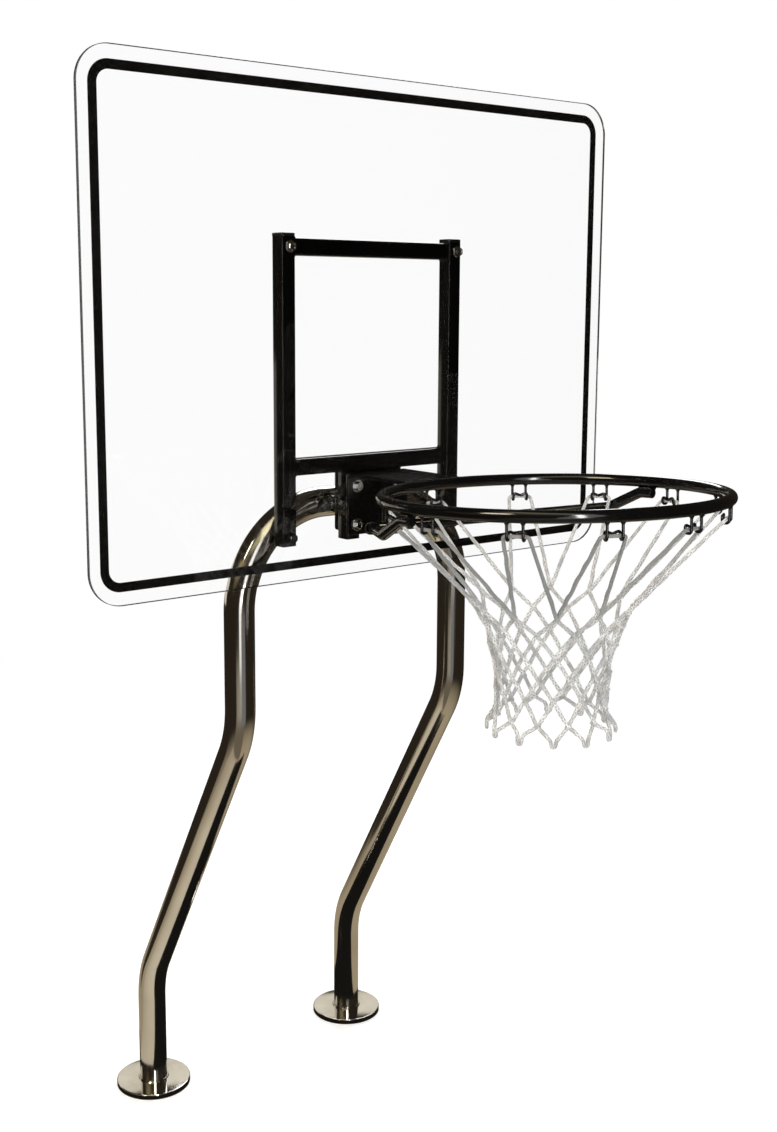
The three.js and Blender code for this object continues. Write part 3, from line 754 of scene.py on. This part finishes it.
# Top plate. A flat plate out from the top of the rim plate, cut to the curve of the ring and
# welded to both.
RING_Y = -0.7513
RING_Z = 1.1315
RING_RADIUS = 0.2371
RING_ROD = 0.0085
RING_TILT = math.radians(-1.75)
WELD_GAP = 0.0003
TOP_PLATE_HALF_FRONT = 0.053
TOP_PLATE_STEPS = 24
low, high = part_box("rim_top_plate")
ring_edge = RING_RADIUS + RING_ROD + WELD_GAP
reach = math.asin(TOP_PLATE_HALF_FRONT / ring_edge)
side_x = (high.x - low.x) / 2
arc = [reach * (2 * k / TOP_PLATE_STEPS - 1) for k in range(TOP_PLATE_STEPS + 1)]
ring_side = [(ring_edge * math.sin(t), RING_Y + ring_edge * math.cos(t)) for t in arc]
top_outline = [(-side_x, rim_front), *ring_side, (side_x, rim_front)]
top_plate = plate("rim_top_web", top_outline[::-1], [], high.z - low.z, PLATE_EDGE, black_gloss)
top_plate.location.z = (low.z + high.z) / 2
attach(top_plate, "stand")
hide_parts("rim_top_plate")

# Ring. A round bar rolled into a hoop, butt welded at the back and ground smooth. It is set
# with its front a touch high, so that it sags level under use.
RING_STEPS = 240
RING_SIDES = 40
ring_place = Matrix.Translation((0, RING_Y, RING_Z)) @ Matrix.Rotation(RING_TILT, 4, "X")
ring_line = [ring_place @ Vector((x, y, 0)) for x, y in circle(RING_RADIUS, RING_STEPS)]
ring_rings = swept(ring_line, circle(RING_ROD, RING_SIDES), closed=True)
ring = skinned("hoop_ring_rod", [(ring_rings, True)], black_gloss)
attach(ring, "stand")
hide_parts("rim_ring")

# Braces. Two round bars from the foot of the rim plate out under the ring, one to each side,
# kneed where they meet it and welded along it.
BRACE_ROD = 0.008
BRACE_FOOT = 0.012
BRACE_KNEE = (0.222, -0.6536, 1.086)
BRACE_BEND = 0.022
BRACE_LANDING = 0.046
BRACE_END = 0.024
BRACE_LIP = 0.0008
BRACE_CUT_EDGE = 0.0002
BRACE_SIDES = 24


def under_ring(behind, side):
    """Under the ring, at a distance behind its middle."""
    x = math.sqrt(RING_RADIUS ** 2 - behind ** 2)
    z = RING_Z + behind * math.sin(RING_TILT) - RING_ROD - BRACE_ROD - WELD_GAP
    return Vector((side * x, RING_Y + behind, z))


for side_name, side in BOTH_SIDES:
    foot = Vector((side * BRACE_FOOT, rim_front, rim_bottom + BRACE_ROD))
    knee = Vector((side * BRACE_KNEE[0], *BRACE_KNEE[1:]))
    rings, loop = rod(bent([
        (foot, 0), (knee, BRACE_BEND),
        (under_ring(BRACE_LANDING, side), BRACE_BEND), (under_ring(BRACE_END, side), 0),
    ]), circle(BRACE_ROD, BRACE_SIDES), BRACE_LIP)
    along = (knee - foot).normalized()
    for ring_at in (0, 1):
        cut = rim_front - WELD_GAP - BRACE_CUT_EDGE * ring_at
        rings[ring_at] = [v + along * ((cut - v.y) / along.y) for v in rings[1]]
    brace = skinned(f"{side_name}_brace_rod", [(rings, loop)], black_gloss)
    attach(brace, "stand")
    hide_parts(f"{side_name}_brace")

# Rim welds. Beads under and over the top plate where it meets the rim plate and the ring,
# along the landing of each brace, and round the feet of the braces.
TOP_BEAD_INSET = 0.003
TOP_BEAD_SINK = 0.001
LANDING_BEAD_ASIDE = 0.0055
LANDING_BEAD_RISE = 0.85 * BRACE_ROD
LANDING_STEPS = 8
FOOT_BEAD_PLACE = (BRACE_FOOT + 0.001, 0.0006)
FOOT_BEAD_WIDE = 0.0135
FOOT_BEAD_HIGH = 0.0088
FOOT_BEAD_START = -2.1
rim_runs = [
    [(side * (side_x - TOP_BEAD_INSET), rim_front, low.z) for side in (-1, 1)],
    [(x, y, low.z) for x, y in ring_side[1:-1]],
    [(x, y, high.z - TOP_BEAD_SINK) for x, y in ring_side[1:-1]],
]
for side in (-1, 1):
    for aside in (-LANDING_BEAD_ASIDE, LANDING_BEAD_ASIDE):
        run = []
        for k in range(LANDING_STEPS + 1):
            behind = BRACE_END + (BRACE_LANDING - BRACE_END) * k / LANDING_STEPS
            place = under_ring(behind, side)
            out = Vector((place.x, place.y - RING_Y, 0)).normalized()
            run.append(place + out * aside + Vector((0, 0, LANDING_BEAD_RISE)))
        rim_runs.append(run)
    foot_x, foot_ahead = FOOT_BEAD_PLACE
    rim_runs.append([(
        side * (foot_x + FOOT_BEAD_WIDE * math.cos(FOOT_BEAD_START + t)), rim_front - foot_ahead,
        rim_bottom + BRACE_ROD + FOOT_BEAD_HIGH * math.sin(FOOT_BEAD_START + t),
    ) for t in (math.pi * k / 12 for k in range(17))])
rim_welds = bead("rim_welds", rim_runs, WELD_RADIUS, black_gloss)
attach(rim_welds, "stand")

# Net hooks. Twelve pieces of round wire, each bent in one go: down from the ring, round a J
# for the cord, up to a dipped bar between the legs, and back. The two ends are welded on by eye.
HOOK_PLACES = (2.75, 32, 59.5, 87.25, 117.05, 147.15, 184, 213, 242.5, 271.9, 302.75, 332.45)
HOOK_COUNT = len(HOOK_PLACES)
HOOK_WIRE = 0.002
HOOK_HALF = 0.0103
HOOK_LOOP = 0.0048
HOOK_BOTTOM = -0.0305
HOOK_BAR = -0.0195
HOOK_DIP = 0.004
HOOK_BAR_BEND = 0.0025
HOOK_ROOT = 0.0006
HOOK_LIP = 0.0002
HOOK_STEP = math.radians(11)
HOOK_SIDES = 14
HOOK_WELD = 0.0021
HOOK_BLOB = ((1.75, 0.0009), (1.6, -0.0004), (1.25, -0.0014), (0.97, -0.0026))


def on_ring(i, point):
    """A point given at the front of the ring, moved round to hook i and onto the tilted ring."""
    return ring_place @ (Matrix.Rotation(math.radians(HOOK_PLACES[i]), 4, "Z") @ Vector(point))


outer_y = -RING_RADIUS
inner_y = outer_y + 2 * HOOK_LOOP
hook_leg = [
    (outer_y, HOOK_ROOT - RING_ROD, 0), (outer_y, HOOK_BOTTOM, HOOK_LOOP),
    (inner_y, HOOK_BOTTOM, HOOK_LOOP), (inner_y, HOOK_BAR, HOOK_BAR_BEND),
]
hook_corners = [
    *(((-HOOK_HALF, y, z), bend) for y, z, bend in hook_leg),
    ((0, inner_y, HOOK_BAR - HOOK_DIP), HOOK_BAR_BEND),
    *(((HOOK_HALF, y, z), bend) for y, z, bend in hook_leg[::-1]),
]
blob = spun([(HOOK_WELD * share, z) for share, z in HOOK_BLOB], HOOK_SIDES)
for i in range(HOOK_COUNT):
    line = bent([(on_ring(i, place), bend) for place, bend in hook_corners], HOOK_STEP)
    shells = [rod(line, circle(HOOK_WIRE, HOOK_SIDES), HOOK_LIP)]
    for end in (-HOOK_HALF, HOOK_HALF):
        seat = Vector((end, outer_y, -RING_ROD))
        shells.append(([[on_ring(i, seat + v) for v in ring] for ring in blob], False))
    hook = skinned(f"net_hook_wire_{i + 1:02d}", shells, black_gloss, 60)
    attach(hook, "stand")
    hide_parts(f"net_hook_{i + 1:02d}")

# Net. Twelve lengths of braided white cord. Each lies in its hook as a loop, and its two sides
# cross their neighbours' in six rows of knots, down to a row of tips folded narrow. In front, near
# the hooks, the cords carry painted shade in a darker grey, and below they are slack and uneven.
NET_LENGTH = 0.3355
NET_WAIST = 0.152
NET_ROWS = (0.4515, 0.526, 0.6245, 0.723, 0.815, 0.9165)
NET_SPREAD = (1.474, 1.263, 1.132, 1.04, 1, 1.04)
NET_TIP_SPREAD = 1.19
NET_EYE_HALF = 0.0165
NET_EYE_BEND = 0.005
NET_SWAY = 0.005
SWAY_FROM = 0.04
SWAY_OVER = 0.12
NET_TURN = math.radians(1.5)
CORD_RADIUS = 0.0025
CORD_SIDES = 12
CORD_STEP = 0.0015
CORD_LIGHT = (0.98, 0.98, 0.98, 1)
CORD_DARK = (0.50, 0.50, 0.50, 1)
# Painted shade: the grooves between the braid's strands are darkened toward this grey.
CORD_GROOVE_SHADE = (0.48, 0.48, 0.47, 1)
# Painted shade: the cords in front, high up near the hooks, are mixed toward this dark grey within
# these reaches.
CORD_PAINTED_SHADE = (0.30, 0.30, 0.29, 1)
PAINTED_SHADE_WAY = Vector((-0.78, -0.62, 0))
PAINTED_SHADE_AHEAD = (0.05, 0.13)
PAINTED_SHADE_DROP = (0.185, 0.14)
CORD_SLACK_FROM = 0.05
CORD_SLACK_OVER = 0.05
CORD_SWELL = 0.14
SWELL_PITCH = 0.037
SWELL_SHIFT = 900
CORD_WANDER = 0.0014
WANDER_SCALE = 45
WANDER_SEED = 7
BRAID_PITCH = 0.0085
STRANDS_EACH_WAY = 4
BRAID_RELIEF = 0.09
KNOT_GAP = 0.0019
KNOT_WRAP = 0.0017
KNOT_BEND = 0.022
KNOT_OUT = 0.0044
KNOT_ASIDE = 0.0030
KNOT_SLANT = 0.35
KNOT_SIDES = 10
KNOT_STEPS = 28
TIP_BEND = 0.0031
TIP_FOLD = 0.0105
TIP_FOLD_SPREAD = 0.25
TIP_EASE = 0.011

braid, given, result = new_group("braid", [("Course", "v"), ("Pitch", "f")], [("Height", "f")])
split = add(braid, "SeparateXYZ", {0: given.outputs["Course"]})
turn = maths(braid, "ARCTAN2", split.outputs["Y"], split.outputs["X"])
lay = maths(braid, "DIVIDE", split.outputs["Z"], given.outputs["Pitch"])
ways = []
for way in (STRANDS_EACH_WAY, -STRANDS_EACH_WAY):
    around = maths(braid, "MULTIPLY", turn, way)
    ways.append(maths(braid, "COSINE", maths(braid, "MULTIPLY_ADD", lay, 2 * math.pi, around)))
braid.links.new(maths(braid, "MAXIMUM", *ways), result.inputs["Height"])

net_cord = worked_material(
    "white_net_cord", CORD_LIGHT, CORD_DARK, 0.78, 0.95,
    tone_scale=70, grain_scale=1800, relief=0.35, depth=0.0003,
    plain={"Sheen Weight": 0.08, "Sheen Roughness": 0.5},
)
tree = net_cord.node_tree
course = add(tree, "Attribute", attribute_name="course").outputs["Vector"]
plait = add(tree, "Group", {"Course": course, "Pitch": BRAID_PITCH}, node_tree=braid)
plait_bump = add(tree, "Bump", {
    "Height": plait.outputs["Height"], "Strength": 0.6, "Distance": 0.0006,
    "Normal": tree.nodes["Bump"].outputs["Normal"],
})
shader = tree.nodes["Principled BSDF"]
tree.links.new(plait_bump.outputs["Normal"], shader.inputs["Normal"])
# Painted shade: where the braid is low, in the grooves between strands, the colour is mixed toward
# a darker grey.
groove_shade_share = ramp(tree, plait.outputs["Height"], -0.2, 0.7)
groove_shaded = mixed(tree, groove_shade_share, CORD_GROOVE_SHADE, tree.nodes["Group"].outputs["Color"])
# Painted shade: cords at the front and high up, near the hooks, are mixed toward a dark grey that
# stands in for the shade under the ring.
place = add(tree, "TexCoord").outputs["Object"]
split = add(tree, "SeparateXYZ", {0: place})
ahead = add(tree, "VectorMath", {0: place, 1: PAINTED_SHADE_WAY}, operation="DOT_PRODUCT")
front = ramp(
    tree, ahead.outputs["Value"], *(PAINTED_SHADE_WAY.y * RING_Y + reach for reach in PAINTED_SHADE_AHEAD),
)
high = ramp(tree, split.outputs["Z"], *(RING_Z - drop for drop in PAINTED_SHADE_DROP))
painted_shade_tone = mixed(tree, maths(tree, "MULTIPLY", front, high), groove_shaded, CORD_PAINTED_SHADE)
tree.links.new(painted_shade_tone, shader.inputs["Base Color"])


def hung(point):
    """The net hangs a little to one side, more so the lower it is."""
    low_share = min(1, max(0, (RING_Z - SWAY_FROM - point.z) / SWAY_OVER))
    return point + Vector((NET_SWAY * low_share, 0, 0))


def net_angle(i):
    """Round the net from the front, for knot i of an odd row. The knots are evenly spaced."""
    return NET_TURN + i * 2 * math.pi / HOOK_COUNT


def knot(row, i, lift=0.0):
    """Knot i of a row. Even rows lie between hooks i and i + 1, and odd rows under hook i."""
    angle = net_angle(i if row % 2 else i + 0.5)
    radius = NET_SPREAD[row] * NET_WAIST / 2 + lift
    return hung(Vector((
        radius * math.sin(angle), RING_Y - radius * math.cos(angle),
        RING_Z - NET_ROWS[row] * NET_LENGTH,
    )))


def below(walked, length):
    """How far down a cord hangs from its hook at a place along it, from 0 in the hook to 1."""
    return min(1, max(0, (abs(walked - length / 2) - CORD_SLACK_FROM) / CORD_SLACK_OVER))


def cord_outline(radius, length):
    """The outline of braided cord, with the strands standing up from it. It is slacker below."""
    def outline(walked):
        uneven = math.sin(2 * math.pi * walked / SWELL_PITCH + length * SWELL_SHIFT) / 2
        slack = 1 + CORD_SWELL * below(walked, length) * (1 + uneven)
        lay = 2 * math.pi * walked / BRAID_PITCH
        pairs = []
        for k, (across, up) in enumerate(circle(1, CORD_SIDES)):
            turn = STRANDS_EACH_WAY * 2 * math.pi * k / CORD_SIDES
            swell = max(math.cos(lay + turn), math.cos(lay - turn))
            size = radius * slack * (1 - BRAID_RELIEF / 2 + BRAID_RELIEF * swell / 2)
            pairs.append((size * across, size * up))
        return pairs
    return outline


noise.seed_set(WANDER_SEED)
rows = range(len(NET_ROWS))
cord_shells = []
for i in range(HOOK_COUNT):
    right = i + len(NET_ROWS) // 2
    tip_angle = net_angle(right + 0.5)
    out = Vector((math.sin(tip_angle), -math.cos(tip_angle), 0))
    half_tip = Vector((-out.y, out.x, 0)) * TIP_BEND
    bottom = Vector((0, RING_Y, RING_Z - NET_LENGTH + CORD_RADIUS))
    bottom += out * NET_TIP_SPREAD * NET_WAIST / 2
    fold = Vector((0, 0, TIP_FOLD * (1 + TIP_FOLD_SPREAD * math.sin(2.3 * i))))
    corners = [
        *((knot(row, i - 1 - row // 2, -KNOT_GAP), KNOT_BEND) for row in rows[::-1]),
        *((on_ring(i, (x, HOOK_LOOP - RING_RADIUS, HOOK_BOTTOM + HOOK_LOOP)), NET_EYE_BEND)
          for x in (-NET_EYE_HALF, NET_EYE_HALF)),
        *((knot(row, i + (row + 1) // 2, KNOT_GAP), KNOT_BEND) for row in rows),
        (hung(bottom - half_tip + fold), TIP_EASE), (hung(bottom - half_tip), TIP_BEND * 0.98),
        (hung(bottom + half_tip), TIP_BEND * 0.98), (hung(bottom + half_tip + fold), TIP_EASE),
        (knot(rows[-1], right + 1), 0),
    ]
    line = evenly(bent(corners, math.radians(12)), CORD_STEP)
    length = CORD_STEP * (len(line) - 1)
    for k, place in enumerate(line):
        stray = noise.noise_vector(place * WANDER_SCALE + Vector((i, 0, 0)))
        line[k] = place + stray * CORD_WANDER * below(k * CORD_STEP, length)
    cord_shells.append((swept(line, cord_outline(CORD_RADIUS, length)), False))
for row in rows:
    for i in range(HOOK_COUNT):
        middle = knot(row, i)
        out = Vector((middle.x, middle.y - RING_Y, 0)).normalized()
        aside = Vector((-out.y, out.x, KNOT_SLANT * (-1) ** (i + row)))
        wrap = [
            middle + out * KNOT_OUT * x + aside * KNOT_ASIDE * y for x, y in circle(1, KNOT_STEPS)
        ]
        cord_shells.append((swept(wrap, circle(KNOT_WRAP, KNOT_SIDES), closed=True), True))
net = skinned("braided_net", cord_shells, net_cord, 180)
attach(net, "stand")
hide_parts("net")

# Floor. A plain pale floor that stays white to the camera, in metal and through the board,
# and still takes the shadow of the stand.
FLOOR_REACH = 40
FLOOR_Z = -0.0005
FLOOR_GLOW = 0.42
FLOOR_NEAR = 1.1
FLOOR_FAR = 3.2
FLOOR_LIGHT = (0.82, 0.82, 0.82, 1)
FLOOR_DARK = (0.80, 0.80, 0.80, 1)


def seen_straight(tree):
    """1 for the camera, in mirrors and through clear sheet, and 0 for light falling on things."""
    path = add(tree, "LightPath").outputs
    seen = maths(tree, "MAXIMUM", path["Is Camera Ray"], path["Is Glossy Ray"])
    return maths(tree, "MAXIMUM", seen, path["Is Transmission Ray"])


floor_material = bpy.data.materials.new("pale_floor")
floor_material.use_nodes = True
tree = floor_material.node_tree
tree.nodes.clear()
floor_place = add(tree, "TexCoord").outputs["Object"]
floor_noise = add(tree, "TexNoise", {"Vector": floor_place, "Scale": 3.0})
floor_tone = mixed(tree, floor_noise.outputs["Fac"], FLOOR_DARK, FLOOR_LIGHT)
floor_matt = add(tree, "BsdfDiffuse", {"Color": floor_tone})
floor_glow = add(tree, "Emission", {
    "Strength": maths(tree, "MULTIPLY", seen_straight(tree), FLOOR_GLOW),
})
floor_sum = add(tree, "AddShader", {0: floor_matt.outputs[0], 1: floor_glow.outputs[0]})
floor_away = add(tree, "VectorMath", {0: floor_place}, operation="LENGTH").outputs["Value"]
floor_far = ramp(tree, floor_away, FLOOR_NEAR, FLOOR_FAR, interpolation_type="SMOOTHSTEP")
floor_white = maths(tree, "MULTIPLY", floor_far, seen_straight(tree))
floor_plain = add(tree, "Emission", {"Strength": 1.0})
floor_mix = add(tree, "MixShader", {
    0: floor_white, 1: floor_sum.outputs[0], 2: floor_plain.outputs[0],
})
add(tree, "OutputMaterial", {"Surface": floor_mix.outputs[0]})
floor_mesh = bpy.data.meshes.new("studio_floor")
floor_mesh.from_pydata([
    (x * FLOOR_REACH, y * FLOOR_REACH, FLOOR_Z) for x, y in ((-1, -1), (1, -1), (1, 1), (-1, 1))
], [], [(0, 1, 2, 3)])
floor_mesh.materials.append(floor_material)
floor = placed("studio_floor", floor_mesh)

# Flags. Dark, khaki and pale cards stand and lie round the part, as in a studio where polished
# metal is shot. Only reflections see them.
NEAR_BLACK = (0.010, 0.009, 0.008, 1)
BLACK_BROWN = (0.026, 0.020, 0.014, 1)
DIM_BROWN = (0.10, 0.09, 0.08, 1)
WARM_BROWN = (0.17, 0.14, 0.10, 1)
DIM_GREY = (0.20, 0.20, 0.20, 1)
KHAKI = (0.42, 0.35, 0.24, 1)
GREY_KHAKI = (0.36, 0.33, 0.28, 1)
PALE_KHAKI = (0.66, 0.58, 0.45, 1)
CREAM = (0.80, 0.75, 0.64, 1)
DULL_GOLD = (0.36, 0.29, 0.15, 1)
SOFT_GOLD = (0.50, 0.45, 0.24, 1)
GOLD = (1.5, 1.38, 0.95, 1)
PALE = (1.3, 1.3, 1.3, 1)
WALL_HEIGHT = 3.2
GOLD_WALL_X = -2.9
WALLS = (
    (-3.6, 2.4), (-3.7, -0.6), (-3.0, -3.0), (-0.6, -3.9), (2.0, -3.4),
    (3.4, -1.2), (3.5, 1.2), (2.4, 3.4), (-0.6, 4.2), (-3.0, 3.6), (-3.6, 2.4),
)


def flag(name, colour, corners, fade=None):
    """A card that shows only in reflections. Fade is a place, two distances from it and the
    colour that the card has beyond them."""
    material = bpy.data.materials.new(name)
    material.use_nodes = True
    tree = material.node_tree
    tree.nodes.clear()
    if fade:
        centre, near, far, beyond = fade
        away = add(tree, "VectorMath", {
            0: add(tree, "TexCoord").outputs["Object"], 1: centre,
        }, operation="DISTANCE").outputs["Value"]
        share = ramp(tree, away, near, far, interpolation_type="SMOOTHSTEP")
        colour = mixed(tree, share, colour, beyond)
    depth = add(tree, "LightPath").outputs["Glossy Depth"]
    mirrored = maths(tree, "GREATER_THAN", depth, 0.5)
    clear = add(tree, "BsdfTransparent")
    card = add(tree, "Emission", {"Color": colour})
    mix = add(tree, "MixShader", {0: mirrored, 1: clear.outputs[0], 2: card.outputs[0]})
    add(tree, "OutputMaterial", {"Surface": mix.outputs[0]})
    mesh = bpy.data.meshes.new(name)
    mesh.from_pydata(corners, [], [tuple(range(len(corners)))])
    mesh.materials.append(material)
    made = placed(name, mesh)
    made.visible_camera = False
    made.visible_diffuse = False
    made.visible_shadow = False


def laid(height, *places):
    """Corners of a card laid flat at a height."""
    return [(x, y, height) for x, y in places]


def stood(a, b, low, high):
    """Corners of a card stood up over a line on the floor, from one height to another."""
    return [(*a, low), (*b, low), (*b, high), (*a, high)]


flag("khaki_mat", KHAKI, laid(0.0004, (-5, -5), (5, -5), (5, 5), (-5, 5)),
     ((0.1, -0.1, 0), 0.5, 1.9, BLACK_BROWN))
flag("left_khaki_mat", PALE_KHAKI, laid(
    0.0006, (-0.9, 0.12), (-0.95, -0.6), (-0.2, -0.6), (-0.2, 0.12),
), ((-0.33, -0.2, 0), 0.06, 0.55, KHAKI))
flag("front_khaki_mat", GREY_KHAKI, laid(
    0.0006, (-0.1, -0.6), (-0.95, -0.6), (-3.2, -2.0), (-2.4, -3.2), (-0.5, -3.4),
), ((-1.7, -2.4, 0), 0.3, 1.7, WARM_BROWN))
flag("back_left_mat", BLACK_BROWN, laid(
    0.0006, (-0.45, 0.3), (-0.3, 2.6), (-3.4, 2.6), (-3.4, 0.5), (-1.1, 0.2),
))
flag("black_mat", NEAR_BLACK, laid(
    0.0008, (-0.27, 0.2), (-0.28, -0.55), (0.27, -0.6), (0.27, 0.2),
))
for side_name, side in BOTH_SIDES:
    flag(f"{side_name}_flange_disc", NEAR_BLACK, laid(
        0.0012, *((side * LEG_X + x, y) for x, y in circle(0.1, 48)),
    ))
flag("pale_card", PALE, [
    (-2.09, -2.96, 0), (-1.15, -3.26, 0), (-1.04, -3.30, 0.9), (-0.76, -3.39, 1.3),
    (-0.76, -3.39, 2.4), (-1.04, -3.30, 3.1), (-1.67, -3.10, 3.1), (-1.74, -3.07, 1.3),
    (-2.09, -2.96, 0.8),
])
flag("half_dark_card", DIM_GREY, stood((-0.56, -1.22), (-0.07, -1.32), 0.19, 0.72))
flag("low_dim_card", DIM_BROWN, stood((-1.3, -3.35), (0.6, -3.45), 0, 0.5),
     ((-1.0, -3.3, 0.1), 0.3, 1.5, BLACK_BROWN))
flag("back_pale_card", CREAM, stood((-1.4, 1.6), (2.6, 1.3), 0.66, 1.22))
flag("gold_card", GOLD, laid(3.15, (-0.6, -0.45), (-1.35, -0.45), (-1.45, -3.1), (-0.8, -3.3)))
flag("dull_gold_card", SOFT_GOLD, laid(
    3.16, (-1.3, -0.8), (-2.6, -1.2), (-2.6, -3.0), (-1.3, -3.2),
), ((-1.5, -2.1, 3.16), 0.4, 1.5, BLACK_BROWN))
for k, (a, b) in enumerate(zip(WALLS, WALLS[1:])):
    tone = DULL_GOLD if max(a[0], b[0]) < GOLD_WALL_X else BLACK_BROWN
    flag(f"wall_flag_{k}", tone, stood(a, b, 0, WALL_HEIGHT),
         ((-3.6, -0.4, 3.3), 0.2, 2.3, BLACK_BROWN))
flag("top_flag", BLACK_BROWN, laid(WALL_HEIGHT, (-3.8, 4.4), (3.8, 4.4), (3.8, -4), (-3.8, -4)))

# Light. A narrow strip box in front, a warm soft box high on the left, a large one behind, and
# an even pale sky.
SKY_LEVEL = 0.55
LAMPS = (
    ("front_strip_box", (-1.05, -2.55, 1.5), (0.17, 1.8), 19, (1, 1, 1)),
    ("warm_top_soft_box", (-2.2, -0.9, 2.9), (0.8, 0.8), 26, (1, 0.86, 0.62)),
    ("back_soft_box", (1.8, 1.6, 2.8), (1.6, 1.6), 48, (1, 1, 1)),
)
AIM = Vector((0, -0.4, 0.9))
for name, place, (width, height), power, colour in LAMPS:
    light = bpy.data.lights.new(name, "AREA")
    light.shape = "RECTANGLE"
    light.size, light.size_y = width, height
    light.energy = power
    light.color = colour
    lamp = placed(name, light)
    lamp.visible_camera = False
    lamp.visible_transmission = False
    lamp.location = place
    lamp.rotation_mode = "QUATERNION"
    lamp.rotation_quaternion = (AIM - Vector(place)).to_track_quat("-Z", "Y")
sky = bpy.data.worlds.new("pale_sky")
bpy.context.scene.world = sky
sky.use_nodes = True
tree = sky.node_tree
tree.nodes.clear()
even = add(tree, "Background", {"Color": (1, 1, 1, 1), "Strength": SKY_LEVEL})
white = add(tree, "Background", {"Color": (1, 1, 1, 1), "Strength": 1.0})
both = add(tree, "MixShader", {
    0: seen_straight(tree), 1: even.outputs[0], 2: white.outputs[0],
})
add(tree, "OutputWorld", {"Surface": both.outputs[0]})
bpy.context.scene.view_settings.view_transform = "Standard"

# Camera. It stands where the photograph was taken from, found from the board's corners and
# the deck flanges.
CAMERA_PLACE = Vector((-1.42099, -2.12665, 1.39064))
CAMERA_TURN = math.radians(38.377)
CAMERA_TILT = math.radians(-9.257)
CAMERA_ROLL = math.radians(0.183)
camera_data = bpy.data.cameras.new("photo_camera")
camera_data.sensor_width = 36
camera_data.lens = 45.69
camera_data.shift_x = 0.02117
camera_data.shift_y = -0.02443
camera = placed("photo_camera", camera_data)
camera.matrix_world = (
    Matrix.Translation(CAMERA_PLACE) @ Matrix.Rotation(-CAMERA_TURN, 4, "Z")
    @ Matrix.Rotation(math.pi / 2 + CAMERA_TILT, 4, "X") @ Matrix.Rotation(CAMERA_ROLL, 4, "Z")
)
bpy.context.scene.camera = camera
